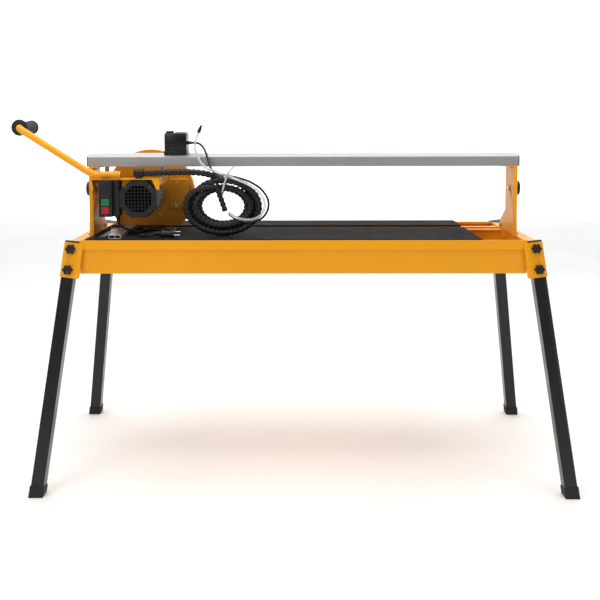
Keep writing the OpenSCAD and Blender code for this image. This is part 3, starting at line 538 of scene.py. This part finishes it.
def mains_turns():
    """Clockwise seen from above: inwards on the lower layer, up, outwards on the upper one, and down."""
    points = []
    steps = int(COIL_TURNS * COIL_POINTS)
    for k in range(COIL_FIRST_POINT, steps):
        turn = COIL_TURNS * k / steps
        past = abs(turn - COIL_INMOST)
        if past > COIL_EASE:
            inward = max(COIL_INMOST - past, 0.0)
        else:
            inward = COIL_INMOST - COIL_EASE / 2 - past * past / (2 * COIL_EASE)
        drop = smooth_step((turn - COIL_DROP) / COIL_DROP_LENGTH)
        r = COIL_OUTER - COIL_STEP * inward + COIL_DROP_OUT * drop
        rise = smooth_step((turn - COIL_CLIMB) / COIL_CLIMB_LENGTH) - drop
        a = math.radians(COIL_STARTS) - 2 * math.pi * turn
        points.append((MAINS_COIL_X + r * math.cos(a), MAINS_COIL_Y + r * math.sin(a),
                       COIL_LOW_Z + (COIL_HIGH_Z - COIL_LOW_Z) * rise))
    return points


mains_line = resample(catmull(route(MAINS_ROUTE + mains_turns() + PLUG_ROUTE), MAINS_STEPS), CORD_STEP)
mains = sweep("mains_cord", mains_line, sleeve(0.03, MAINS_R), "carriage", mat_lead, CORD_SIDES)
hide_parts("mains_lead", "mains_coil")

# Two-pin plug: a waisted body with a ribbed sleeve behind, and plated prongs
PLUG_L = 0.045
PRONG_TILT = math.radians(25)
PRONG_OFF_MIDDLE = 0.0095
plug_at = mains_line[-1]
bm = bmesh.new()
add_lathe(bm, [(0.0042, -0.016), (0.0058, -0.014), (0.0050, -0.011), (0.0066, -0.009), (0.0058, -0.006),
               (0.0076, -0.004), (0.0070, 0.000), (0.0104, 0.003), (0.0116, 0.008), (0.0100, 0.018),
               (0.0102, 0.028), (0.0124, 0.036), (0.0129, 0.041), (0.0124, PLUG_L)],
          plug_at, (1, 0, 0), steps=36)
plug = finish_piece("plug_body", bm, "carriage", mat_black)
sharpen(plug, 40)
bm = bmesh.new()
for side in (-1, 1):
    across = Vector((0, math.cos(PRONG_TILT), math.sin(PRONG_TILT))) * side * PRONG_OFF_MIDDLE
    foot = plug_at + Vector((PLUG_L - 0.0004, 0, 0)) + across
    add_lathe(bm, [(0.0030, 0), (0.0030, 0.0012), (0.0023, 0.0016), (0.0023, 0.016), (0.0019, 0.0182),
                   (0.0008, 0.0189)], foot, (1, 0, 0), steps=20)
pins = finish_piece("plug_pins", bm, "carriage", mat_zinc)
sharpen(pins, 40)
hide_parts("mains_plug")


# ---------------------------------------------------------------- CAD nodes with rounded edges

WELD_WITHIN = 0.00002
EDGE_ANGLE = math.radians(40)


def soften(names, width):
    """Welds a node's split corners and rounds its edges, with modifiers only."""
    for name in names:
        weld = NODES[name].modifiers.new("weld", "WELD")
        weld.merge_threshold = WELD_WITHIN
        bevel = NODES[name].modifiers.new("bevel", "BEVEL")
        bevel.width = width
        bevel.segments = 2
        bevel.limit_method = "ANGLE"
        bevel.angle_limit = EDGE_ANGLE
        bevel.harden_normals = True


soften(["front_rail", "rear_rail", "end_rail_left", "end_rail_right", "leg_brackets", "slot_rails",
        "tilt_brackets", "arm_left", "arm_right", "carriage_plate", "water_tray", "angle_stop"], 0.0007)
soften(["leg_front_left", "leg_front_right", "leg_rear_left", "leg_rear_right", "leg_feet", "leg_caps"],
       0.0016)
soften(["front_table", "rear_table", "guide_rail", "rail_end_caps"], 0.0008)
soften(["fence", "blade_guard"], 0.0004)
soften(["fan_cover"], 0.0006)


# ---------------------------------------------------------------- knobs

JOINTS = {j["name"]: j for j in frame["record"]["behaviour"]["joints"]}
# How far a leg knob's back stands behind its joint's point, and its stud's radius, reach and length
KNOB_BACK = 0.0017
STUD_R = 0.004
STUD_REACH = 0.0453
STUD_L = 0.0455
TILT_STUD_R = 0.0049


def add_thread(bm, start, axis, radius, length, pitch=0.00125):
    """A stud with ridges in place of a thread."""
    profile = [(radius * 0.8, 0.0)]
    steps = int(length / pitch)
    for k in range(steps):
        profile += [(radius, (k + 0.3) * pitch), (radius, (k + 0.5) * pitch),
                    (radius * 0.86, (k + 0.8) * pitch)]
    profile += [(radius * 0.8, length)]
    add_lathe(bm, profile, start, axis, steps=18)


def leg_knob(name):
    """A six-lobed knob on its threaded stud."""
    joint = JOINTS[name + "_turn"]
    axis = Vector(joint["axis"])
    back = Vector(joint["pos_m"]) - axis * KNOB_BACK
    bm = bmesh.new()
    add_lathe(bm, [(0.0092, 0.0), (0.0142, 0.0006), (0.0156, 0.0022), (0.0158, 0.0090), (0.0150, 0.0114),
                   (0.0128, 0.0127), (0.0075, 0.0129), (0.0068, 0.0122), (0.0006, 0.0121)],
              back, axis, steps=72, lobes=6, depth=0.24)
    knob = finish_piece(name + "_grip", bm, name, mat_black)
    sharpen(knob, 50)
    bm = bmesh.new()
    add_thread(bm, back - axis * STUD_REACH, axis, STUD_R, STUD_L)
    finish_piece(name + "_stud", bm, name, mat_zinc)
    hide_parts(name)


for knob_name in LEG_KNOBS:
    leg_knob(knob_name)


def tilt_knob(name, out):
    """A round fluted knob on a bolt. out is the way it points along X, 1 or -1."""
    low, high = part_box(name)
    axis = Vector((out, 0, 0))
    inner = Vector((low.x if out > 0 else high.x, (low.y + high.y) / 2, (low.z + high.z) / 2))
    reach = high.x - low.x
    bm = bmesh.new()
    add_lathe(bm, [(0.0115, reach - 0.021), (0.0118, reach - 0.0163), (0.0218, reach - 0.0158),
                   (0.0233, reach - 0.0142), (0.0234, reach - 0.0030), (0.0222, reach - 0.0012),
                   (0.0190, reach - 0.0003), (0.0120, reach - 0.0006), (0.0112, reach - 0.0014),
                   (0.0006, reach - 0.0014)], inner, axis, steps=96, lobes=24, depth=0.045)
    knob = finish_piece(name + "_grip", bm, name, mat_black)
    sharpen(knob, 50)
    bm = bmesh.new()
    add_lathe(bm, [(0.0068, 0.0), (0.0078, 0.0008), (0.0080, 0.0045), (0.0076, 0.0049), (0.0008, 0.005)],
              inner, axis, steps=6)
    add_thread(bm, inner + axis * 0.0048, axis, TILT_STUD_R, reach - 0.026)
    finish_piece(name + "_bolt", bm, name, mat_zinc, smooth=False)
    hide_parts(name)


tilt_knob("tilt_knob_left", -1)
tilt_knob("tilt_knob_right", 1)


# ---------------------------------------------------------------- handle

HANDLE_R = 0.011
HANDLE_SIDES = 28
# The bent tube lies this far inside the CAD tube's skin
HANDLE_INSET = 0.0006
HANDLE_BEND = 0.026
GRIP_RIBS = 9
grip_low, grip_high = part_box("handle_grip")
tube_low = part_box("handle_tube")[0]
plate_low, plate_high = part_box("carriage_plate")


def rounded_route(points, radius, steps=10):
    """Straight runs joined by curves that start a radius before each corner."""
    line = [points[0]]
    for a, b, c in zip(points, points[1:], points[2:]):
        start = b + (a - b).normalized() * radius
        end = b + (c - b).normalized() * radius
        for k in range(steps + 1):
            t = k / steps
            line.append(start * (1 - t) ** 2 + b * 2 * t * (1 - t) + end * t * t)
    line.append(points[-1])
    return line


def make_handle():
    """A tube held on the carriage by two clips, bent up and across, with a ribbed rubber grip."""
    grip_x, grip_z = (grip_low.x + grip_high.x) / 2, (grip_low.z + grip_high.z) / 2
    y = tube_low.y + HANDLE_R + HANDLE_INSET
    z = plate_high.z + HANDLE_R + HANDLE_INSET
    bend_x = plate_low.x + 0.008
    corners = [Vector((plate_low.x + 0.095, y, z)), Vector((bend_x, y, z)), Vector((grip_x, y, grip_z)),
               Vector((grip_x, grip_high.y - 0.004, grip_z))]
    bm = bmesh.new()
    add_tube(bm, rounded_route(corners, HANDLE_BEND), lambda s: HANDLE_R, HANDLE_SIDES)
    for x in (bend_x + 0.006, plate_low.x + 0.065):
        add_box(bm, (x, y - 0.008, plate_high.z), (x + 0.024, y + 0.008, plate_high.z + 0.006), 0.001)
        clip = [Vector((x + 0.002, y, z)), Vector((x + 0.022, y, z))]
        add_tube(bm, clip, lambda s: HANDLE_R + 0.0009, HANDLE_SIDES)
    tube = finish_piece("handle_bent_tube", bm, "carriage", mat_frame)
    sharpen(tube, 45)
    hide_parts("handle_tube")
    bm = bmesh.new()
    add_lathe(bm, [(0.0104, -0.0004), (0.0104, 0.0006), (0.0070, 0.0008)], corners[0], (1, 0, 0),
              steps=HANDLE_SIDES)
    for x in (bend_x + 0.018, plate_low.x + 0.077):
        add_hex(bm, Vector((x, y, z + HANDLE_R + HANDLE_INSET)), (0, 0, 1), 0.009, 0.003)
    finish_piece("handle_bolts", bm, "carriage", mat_zinc, smooth=False)

    length = grip_high.y - grip_low.y
    profile = [(HANDLE_R, 0.0), (0.0225, 0.0), (0.0252, 0.0018), (0.0259, 0.004), (0.0252, 0.0062),
               (0.0226, 0.0082), (0.0196, 0.0125), (0.0183, 0.017)]
    for k in range(GRIP_RIBS):
        s = 0.020 + k * (length - 0.042) / GRIP_RIBS
        profile += [(0.0186, s), (0.0197, s + 0.003), (0.0197, s + 0.006), (0.0186, s + 0.0085)]
    profile += [(0.0183, length - 0.019), (0.0205, length - 0.011), (0.0231, length - 0.006),
                (0.0234, length - 0.004), (0.0215, length - 0.0005), (0.0150, length), (0.0008, length)]
    bm = bmesh.new()
    add_lathe(bm, profile, Vector((grip_x, grip_low.y, grip_z)), (0, 1, 0), steps=56)
    grip = finish_piece("handle_ribbed_grip", bm, "carriage", mat_grip)
    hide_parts("handle_grip")


make_handle()


# ---------------------------------------------------------------- saw head

cover_low, cover_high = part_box("fan_cover")
guard_low, guard_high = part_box("blade_guard")
motor_x = (cover_low.x + cover_high.x) / 2
motor_z = (cover_low.z + cover_high.z) / 2


def screw(bm, centre, axis, radius=0.0032, height=0.0016):
    """A pan head with a six-sided recess."""
    place = Vector(centre)
    add_lathe(bm, [(radius, 0.0), (radius, height * 0.5), (radius * 0.8, height), (radius * 0.5, height)],
              place, axis, steps=24)
    add_lathe(bm, [(radius * 0.42, height * 0.6), (radius * 0.42, height * 1.02)], place, axis, steps=6)


SCREW_RING_R = 0.0535


def make_motor_trim():
    """A raised ring round the fan's opening, four screws, and the cap on the spindle's end."""
    front = cover_low.y
    bm = bmesh.new()
    add_lathe(bm, [(0.0435, -0.0001), (0.0435, 0.0016), (0.0447, 0.0022), (0.0478, 0.0018), (0.0492, 0.0006),
                   (0.0492, -0.0001)], (motor_x, front + 0.0021, motor_z), (0, -1, 0), steps=72)
    finish_piece("fan_cover_ring", bm, "carriage", mat_black)
    bm = bmesh.new()
    for turn in (45, 135, 225, 315):
        a = math.radians(turn)
        x, z = motor_x + SCREW_RING_R * math.cos(a), motor_z + SCREW_RING_R * math.sin(a)
        screw(bm, (x, front + 0.0016, z), (0, -1, 0))
    finish_piece("fan_cover_screws", bm, "carriage", mat_zinc, smooth=False)
    bm = bmesh.new()
    spindle_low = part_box("spindle")[0]
    add_lathe(bm, [(0.0086, 0.0), (0.0086, 0.0030), (0.0070, 0.0042), (0.0006, 0.0044)],
              (motor_x, spindle_low.y, motor_z), (0, -1, 0), steps=32)
    finish_piece("spindle_cap", bm, "rotor", mat_black)


# The raised box on the guard's side: its X from the frame's middle line, its height, and its depth
SIDE_BOX_LOW_X, SIDE_BOX_HIGH_X = -0.449, -0.384
SIDE_BOX_LOW_Z, SIDE_BOX_HIGH_Z = 0.822, 0.926
SIDE_BOX_DEPTH = 0.013
# The guard's front screws, two on its plain side and two on the box
GUARD_SCREWS = [(-0.482, 0.806, 0.0), (-0.545, 0.806, 0.0),
                (-0.425, 0.836, SIDE_BOX_DEPTH), (-0.425, 0.912, SIDE_BOX_DEPTH)]
BACK_SCREWS = 6
BACK_SCREW_RING_R = 0.082


def make_guard_trim():
    """A raised box and a hanging tab on the guard's side, its screws, and the plate on its back."""
    face, back = guard_low.y, guard_high.y
    bm = bmesh.new()
    add_box(bm, (MIDDLE_X + SIDE_BOX_LOW_X, face - SIDE_BOX_DEPTH, SIDE_BOX_LOW_Z),
            (MIDDLE_X + SIDE_BOX_HIGH_X, face + 0.0004, SIDE_BOX_HIGH_Z), 0.0025)
    panel = finish_piece("guard_side_box", bm, "carriage", mat_guard)
    sharpen(panel, 30)
    bm = bmesh.new()
    add_box(bm, (MIDDLE_X - 0.382, face - 0.0024, 0.888), (MIDDLE_X - 0.370, face + 0.0004, 0.914), 0.0008)
    finish_piece("guard_tab", bm, "carriage", mat_guard, smooth=False)
    bm = bmesh.new()
    screw(bm, (MIDDLE_X - 0.376, face - 0.0024, 0.905), (0, -1, 0), 0.0028)
    for x, z, depth in GUARD_SCREWS:
        screw(bm, (MIDDLE_X + x, face - depth, z), (0, -1, 0), 0.0042, 0.0024)
    for k in range(BACK_SCREWS):
        a = 2 * math.pi * (k + 0.5) / BACK_SCREWS
        x, z = motor_x + BACK_SCREW_RING_R * math.cos(a), motor_z + BACK_SCREW_RING_R * math.sin(a)
        screw(bm, (x, back + 0.0019, z), (0, 1, 0), 0.0042, 0.0024)
    finish_piece("guard_screws", bm, "carriage", mat_zinc, smooth=False)
    bm = bmesh.new()
    add_lathe(bm, [(0.0925, -0.0004), (0.0925, 0.0012), (0.0917, 0.0020), (0.0560, 0.0020), (0.0545, 0.0010),
                   (0.0525, 0.0010), (0.0510, 0.0020), (0.0008, 0.0020)],
              (motor_x, back, motor_z), (0, 1, 0), steps=96)
    plate = finish_piece("guard_back_plate", bm, "carriage", mat_guard)
    sharpen(plate, 35)


make_motor_trim()
make_guard_trim()


# The right edge of the switch box's front, from the frame's middle line
SWITCH_FRONT_RIGHT = -0.591
# The case ends this far below the stop button, and its front plate is this thick
SWITCH_FOOT = 0.009
SWITCH_PLATE = 0.0125
# Free space round the buttons, and how far the plate's parts run into each other
BUTTON_GAP = 0.001
PLATE_LAP = 0.0005


def make_switch():
    """A two-part case with a front plate round its two buttons, the lead's gland, and dished button caps."""
    low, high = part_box("switch_box")
    start_low, start_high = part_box("start_button")
    stop_low, stop_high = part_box("stop_button")
    front_right = MIDDLE_X + SWITCH_FRONT_RIGHT
    foot = stop_low.z - SWITCH_FOOT
    bm = bmesh.new()
    add_box(bm, (low.x, low.y + 0.012, foot), (front_right, high.y, high.z), 0.002)
    add_box(bm, (front_right - 0.002, low.y + 0.016, foot), (high.x, high.y, high.z), 0.0015)
    x0, x1 = stop_low.x - BUTTON_GAP, stop_high.x + BUTTON_GAP
    z0, z1 = stop_low.z - BUTTON_GAP, start_high.z + BUTTON_GAP
    plate_back = low.y + SWITCH_PLATE
    for a, b in (((low.x, foot), (x0, high.z)), ((x1, foot), (front_right, high.z)),
                 ((x0 - PLATE_LAP, foot), (x1 + PLATE_LAP, z0)),
                 ((x0 - PLATE_LAP, z1), (x1 + PLATE_LAP, high.z))):
        add_box(bm, (a[0], low.y, a[1]), (b[0], plate_back, b[1]), 0.0008)
    add_box(bm, (x0 - PLATE_LAP, low.y + 0.0005, start_low.z - 0.0022),
            (x1 + PLATE_LAP, plate_back, start_low.z - 0.0009))
    add_box(bm, (low.x + 0.004, low.y - 0.0001, z1 + 0.006),
            (front_right - 0.004, low.y + 0.002, high.z - 0.006), 0.001)
    body = finish_piece("switch_case", bm, "carriage", mat_black)
    sharpen(body, 30)
    bm = bmesh.new()
    gland = mains_line[0]
    add_lathe(bm, [(0.0045, 0.0), (0.0060, 0.001), (0.0064, 0.004), (0.0052, 0.0046), (0.0068, 0.0052),
                   (0.0070, foot - gland.z + 0.001)], gland, (0, 0, 1), steps=24)
    finish_piece("switch_cord_gland", bm, "carriage", mat_black)
    bm = bmesh.new()
    for z in (high.z - 0.012, foot + 0.0045):
        screw(bm, ((low.x + front_right) / 2, low.y + 0.0012, z), (0, -1, 0), 0.0024, 0.0012)
    finish_piece("switch_screws", bm, "carriage", mat_zinc, smooth=False)
    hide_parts("switch_box")
    for name, look, slot in (("start_button", mat_start, "start_green"),
                             ("stop_button", mat_stop_button, "stop_red")):
        a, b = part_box(name)
        middle = (a + b) / 2
        bm = bmesh.new()
        add_box(bm, (a.x, a.y + 0.0008, a.z), (b.x, b.y, b.z), 0.0018)
        add_lathe(bm, [(0.0068, -0.001), (0.0068, 0.0), (0.0062, 0.0007), (0.0046, 0.0002), (0.0006, 0.0002)],
                  (middle.x, a.y + 0.0007, middle.z), (0, -1, 0), steps=36)
        cap = finish_piece(name + "_cap", bm, name, look)
        sharpen(cap, 35)
        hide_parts(name)


make_switch()


PUMP_W = 0.074
PUMP_CAP_H = 0.007
PUMP_LOUVRES = 6
PUMP_LOUVRE_STEP = 0.0088


def make_pump():
    """A flanged case with louvres, a knurled dial, a cable boss, a grey lid and four screws."""
    low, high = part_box("water_pump")
    body_right = low.x + PUMP_W
    case_top = high.z - PUMP_CAP_H
    bm = bmesh.new()
    add_box(bm, (low.x, low.y, low.z), (body_right, high.y, low.z + 0.010), 0.002)
    add_box(bm, (low.x + 0.0015, low.y + 0.0015, low.z + 0.009),
            (body_right - 0.0015, high.y - 0.0015, case_top), 0.0045)
    add_box(bm, (low.x + 0.007, low.y, low.z + 0.014),
            (body_right - 0.007, low.y + 0.003, case_top - 0.008), 0.001)
    for k in range(PUMP_LOUVRES):
        x = low.x + 0.014 + k * PUMP_LOUVRE_STEP
        add_box(bm, (x, low.y + 0.0002, low.z + 0.018), (x + 0.0038, low.y + 0.002, low.z + 0.036), 0.0005)
    add_lathe(bm, [(0.013, -0.001), (0.0132, 0.004), (0.0122, 0.0066), (0.0006, 0.0068)],
              (low.x + 0.018, low.y + 0.018, case_top), (0, 0, 1), steps=60, lobes=12, depth=0.06)
    add_lathe(bm, [(0.0064, -0.002), (0.0064, 0.0), (0.0052, 0.001)], cable_line[0] - Vector((0.0006, 0, 0)),
              (1, 0, 0), steps=24)
    body = finish_piece("pump_case", bm, "carriage", mat_pump)
    sharpen(body, 30)
    bm = bmesh.new()
    add_box(bm, (low.x + 0.036, low.y + 0.006, case_top - 0.001),
            (low.x + 0.070, low.y + 0.060, case_top + 0.0035), 0.0015)
    finish_piece("pump_lid", bm, "carriage", mat_end)
    bm = bmesh.new()
    for x in (low.x + 0.006, body_right - 0.006):
        for y in (low.y + 0.006, high.y - 0.006):
            screw(bm, (x, y, case_top - 0.0003), (0, 0, 1), 0.0024, 0.0012)
    finish_piece("pump_screws", bm, "carriage", mat_zinc, smooth=False)
    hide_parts("water_pump")


make_pump()


# ---------------------------------------------------------------- harness fittings

GLAND_RIBS = 5
GLAND_RIB_STEP = 0.0062


def make_gland():
    """A ribbed strain relief on its bracket, where the harness leaves the carriage."""
    low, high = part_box("harness_gland")
    centre = Vector((low.x, harness_line[0].y, harness_line[0].z))
    length = high.x - low.x
    profile = [(0.0090, 0.0), (0.0112, 0.0008)]
    for k in range(GLAND_RIBS):
        s = 0.002 + k * GLAND_RIB_STEP
        profile += [(0.0128, s), (0.0128, s + 0.0034), (0.0114, s + 0.0040), (0.0114, s + 0.0056)]
    profile += [(0.0124, length - 0.0008), (0.0106, length)]
    bm = bmesh.new()
    add_lathe(bm, profile, centre, (1, 0, 0), steps=36)
    add_box(bm, (high.x - 0.027, centre.y - 0.009, low.z),
            (high.x - 0.007, centre.y + 0.009, centre.z - 0.004), 0.001)
    gland = finish_piece("harness_strain_relief", bm, "carriage", mat_black)
    sharpen(gland, 35)
    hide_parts("harness_gland")


make_gland()


# A strap's section, of half-width and half-thickness 1, with its corners cut
STRAP_SECTION = [(-1, -0.6), (-0.7, -1), (0.7, -1), (1, -0.6), (1, 0.6), (0.7, 1), (-0.7, 1), (-1, 0.6)]
STRAP_STEPS = 40
STRAP_SQUARENESS = 0.4


def add_strip(bm, line, across, half_width, half_thick):
    """A flat strip along a line. across is the direction of its width."""
    rings = []
    for i, p in enumerate(line):
        t = (line[min(i + 1, len(line) - 1)] - line[max(i - 1, 0)]).normalized()
        side = (across - t * across.dot(t)).normalized()
        face = t.cross(side)
        rings.append([bm.verts.new(p + side * u * half_width + face * v * half_thick)
                      for u, v in STRAP_SECTION])
    for below, above in zip(rings, rings[1:]):
        for k in range(len(STRAP_SECTION)):
            n = (k + 1) % len(STRAP_SECTION)
            bm.faces.new((below[k], below[n], above[n], above[k]))
    bm.faces.new(rings[0][::-1])
    bm.faces.new(rings[-1])


def make_tie():
    """A white strap round the top of the wound harness, its tail left long."""
    foot, top = Vector((-253, 0, 889)), Vector((-233, 0, 957))
    up = (top - foot).normalized()
    reach = (top - foot).length
    front, back = -204, -153
    middle, half = (front + back) / 2, (back - front) / 2
    loop = []
    for k in range(STRAP_STEPS + 1):
        a = 2 * math.pi * k / STRAP_STEPS
        u = math.copysign(abs(math.cos(a)) ** STRAP_SQUARENESS, math.cos(a))
        v = math.copysign(abs(math.sin(a)) ** STRAP_SQUARENESS, math.sin(a))
        p = foot + up * (reach * (0.5 + 0.5 * v))
        loop.append(at(p.x, middle - half * u, p.z))
    across = Vector((up.z, 0, -up.x))
    bm = bmesh.new()
    add_strip(bm, loop, across, 0.0028, 0.0008)
    head = foot + up * (reach * 0.80)
    add_box(bm, at(head.x, front, head.z) - Vector((0.004, 0.004, 0.004)),
            at(head.x, front, head.z) + Vector((0.004, 0.001, 0.004)), 0.0008)
    tail_points = catmull([at(head.x, front - 2, head.z), at(-228, -207, 960), at(-220, -208, 970),
                           at(-211, -206, 981)], 6)
    add_strip(bm, tail_points, across, 0.0022, 0.0006)
    finish_piece("harness_tie", bm, "carriage", mat_tie)


make_tie()


# ---------------------------------------------------------------- floor and light

FLOOR_HALF = 14.0
WALL_Y, WALL_HALF, WALL_LOW, WALL_HIGH = 6.5, 20.0, -0.5, 12.0
WORLD_STRENGTH = 0.36
WALL_GLOW = 0.9


def stage_sheet(name, corners, material):
    """A flat sheet of the stage, which isn't part of the saw."""
    mesh = bpy.data.meshes.new(name)
    mesh.from_pydata(corners, [], [range(len(corners))])
    sheet = bpy.data.objects.new(name, mesh)
    scene.collection.objects.link(sheet)
    mesh.materials.append(material)


def make_stage():
    """A pale floor, a faint even sky, and a bright wall behind the saw."""
    n = Nodes("floor_plain")
    n.set(Base_Color=n.mix(n.band(n.noise(1.5, 4), 0.3, 0.7), linear(244, 243, 242), linear(248, 248, 247)),
          Roughness=n.band(n.noise(5.0, 4), 0.3, 0.7, 0.6, 0.75))
    n.bump(n.noise(60.0, 3), 0.05, 0.0005)
    stage_sheet("floor", [(-FLOOR_HALF, -FLOOR_HALF, 0), (FLOOR_HALF, -FLOOR_HALF, 0),
                          (FLOOR_HALF, FLOOR_HALF, 0), (-FLOOR_HALF, FLOOR_HALF, 0)], n.material)
    world = bpy.data.worlds.new("world")
    scene.world = world
    world.use_nodes = True
    background = world.node_tree.nodes["Background"]
    background.inputs["Color"].default_value = (0.96, 0.98, 1.0, 1)
    background.inputs["Strength"].default_value = WORLD_STRENGTH
    n = Nodes("backdrop_glow")
    n.set(Base_Color=n.mix(n.band(n.noise(0.4, 2), 0.3, 0.7), linear(240, 240, 240), linear(246, 246, 246)),
          Roughness=0.9, Emission_Color=(1.0, 1.0, 1.0), Emission_Strength=WALL_GLOW)
    stage_sheet("backdrop", [(-WALL_HALF, WALL_Y, WALL_LOW), (-WALL_HALF, WALL_Y, WALL_HIGH),
                             (WALL_HALF, WALL_Y, WALL_HIGH), (WALL_HALF, WALL_Y, WALL_LOW)], n.material)


def area_light(name, place, target, size, power):
    """A rectangular lamp that faces a target. Its power is in watts."""
    data = bpy.data.lights.new(name, "AREA")
    data.shape = "RECTANGLE"
    data.size, data.size_y = size
    data.energy = power
    lamp = bpy.data.objects.new(name, data)
    lamp.location = place
    lamp.rotation_euler = (Vector(target) - Vector(place)).to_track_quat("-Z", "Y").to_euler()
    scene.collection.objects.link(lamp)


make_stage()
area_light("overhead", (0, -0.4, 4.2), (0, 0, 0), (5.0, 4.0), 175)
area_light("key", (-1.9, -2.8, 2.4), (0, 0, 0.8), (1.4, 1.2), 22)
area_light("fill", (2.8, -2.4, 1.2), (0, 0, 0.6), (1.6, 1.6), 5)

scene.view_settings.view_transform = "Standard"
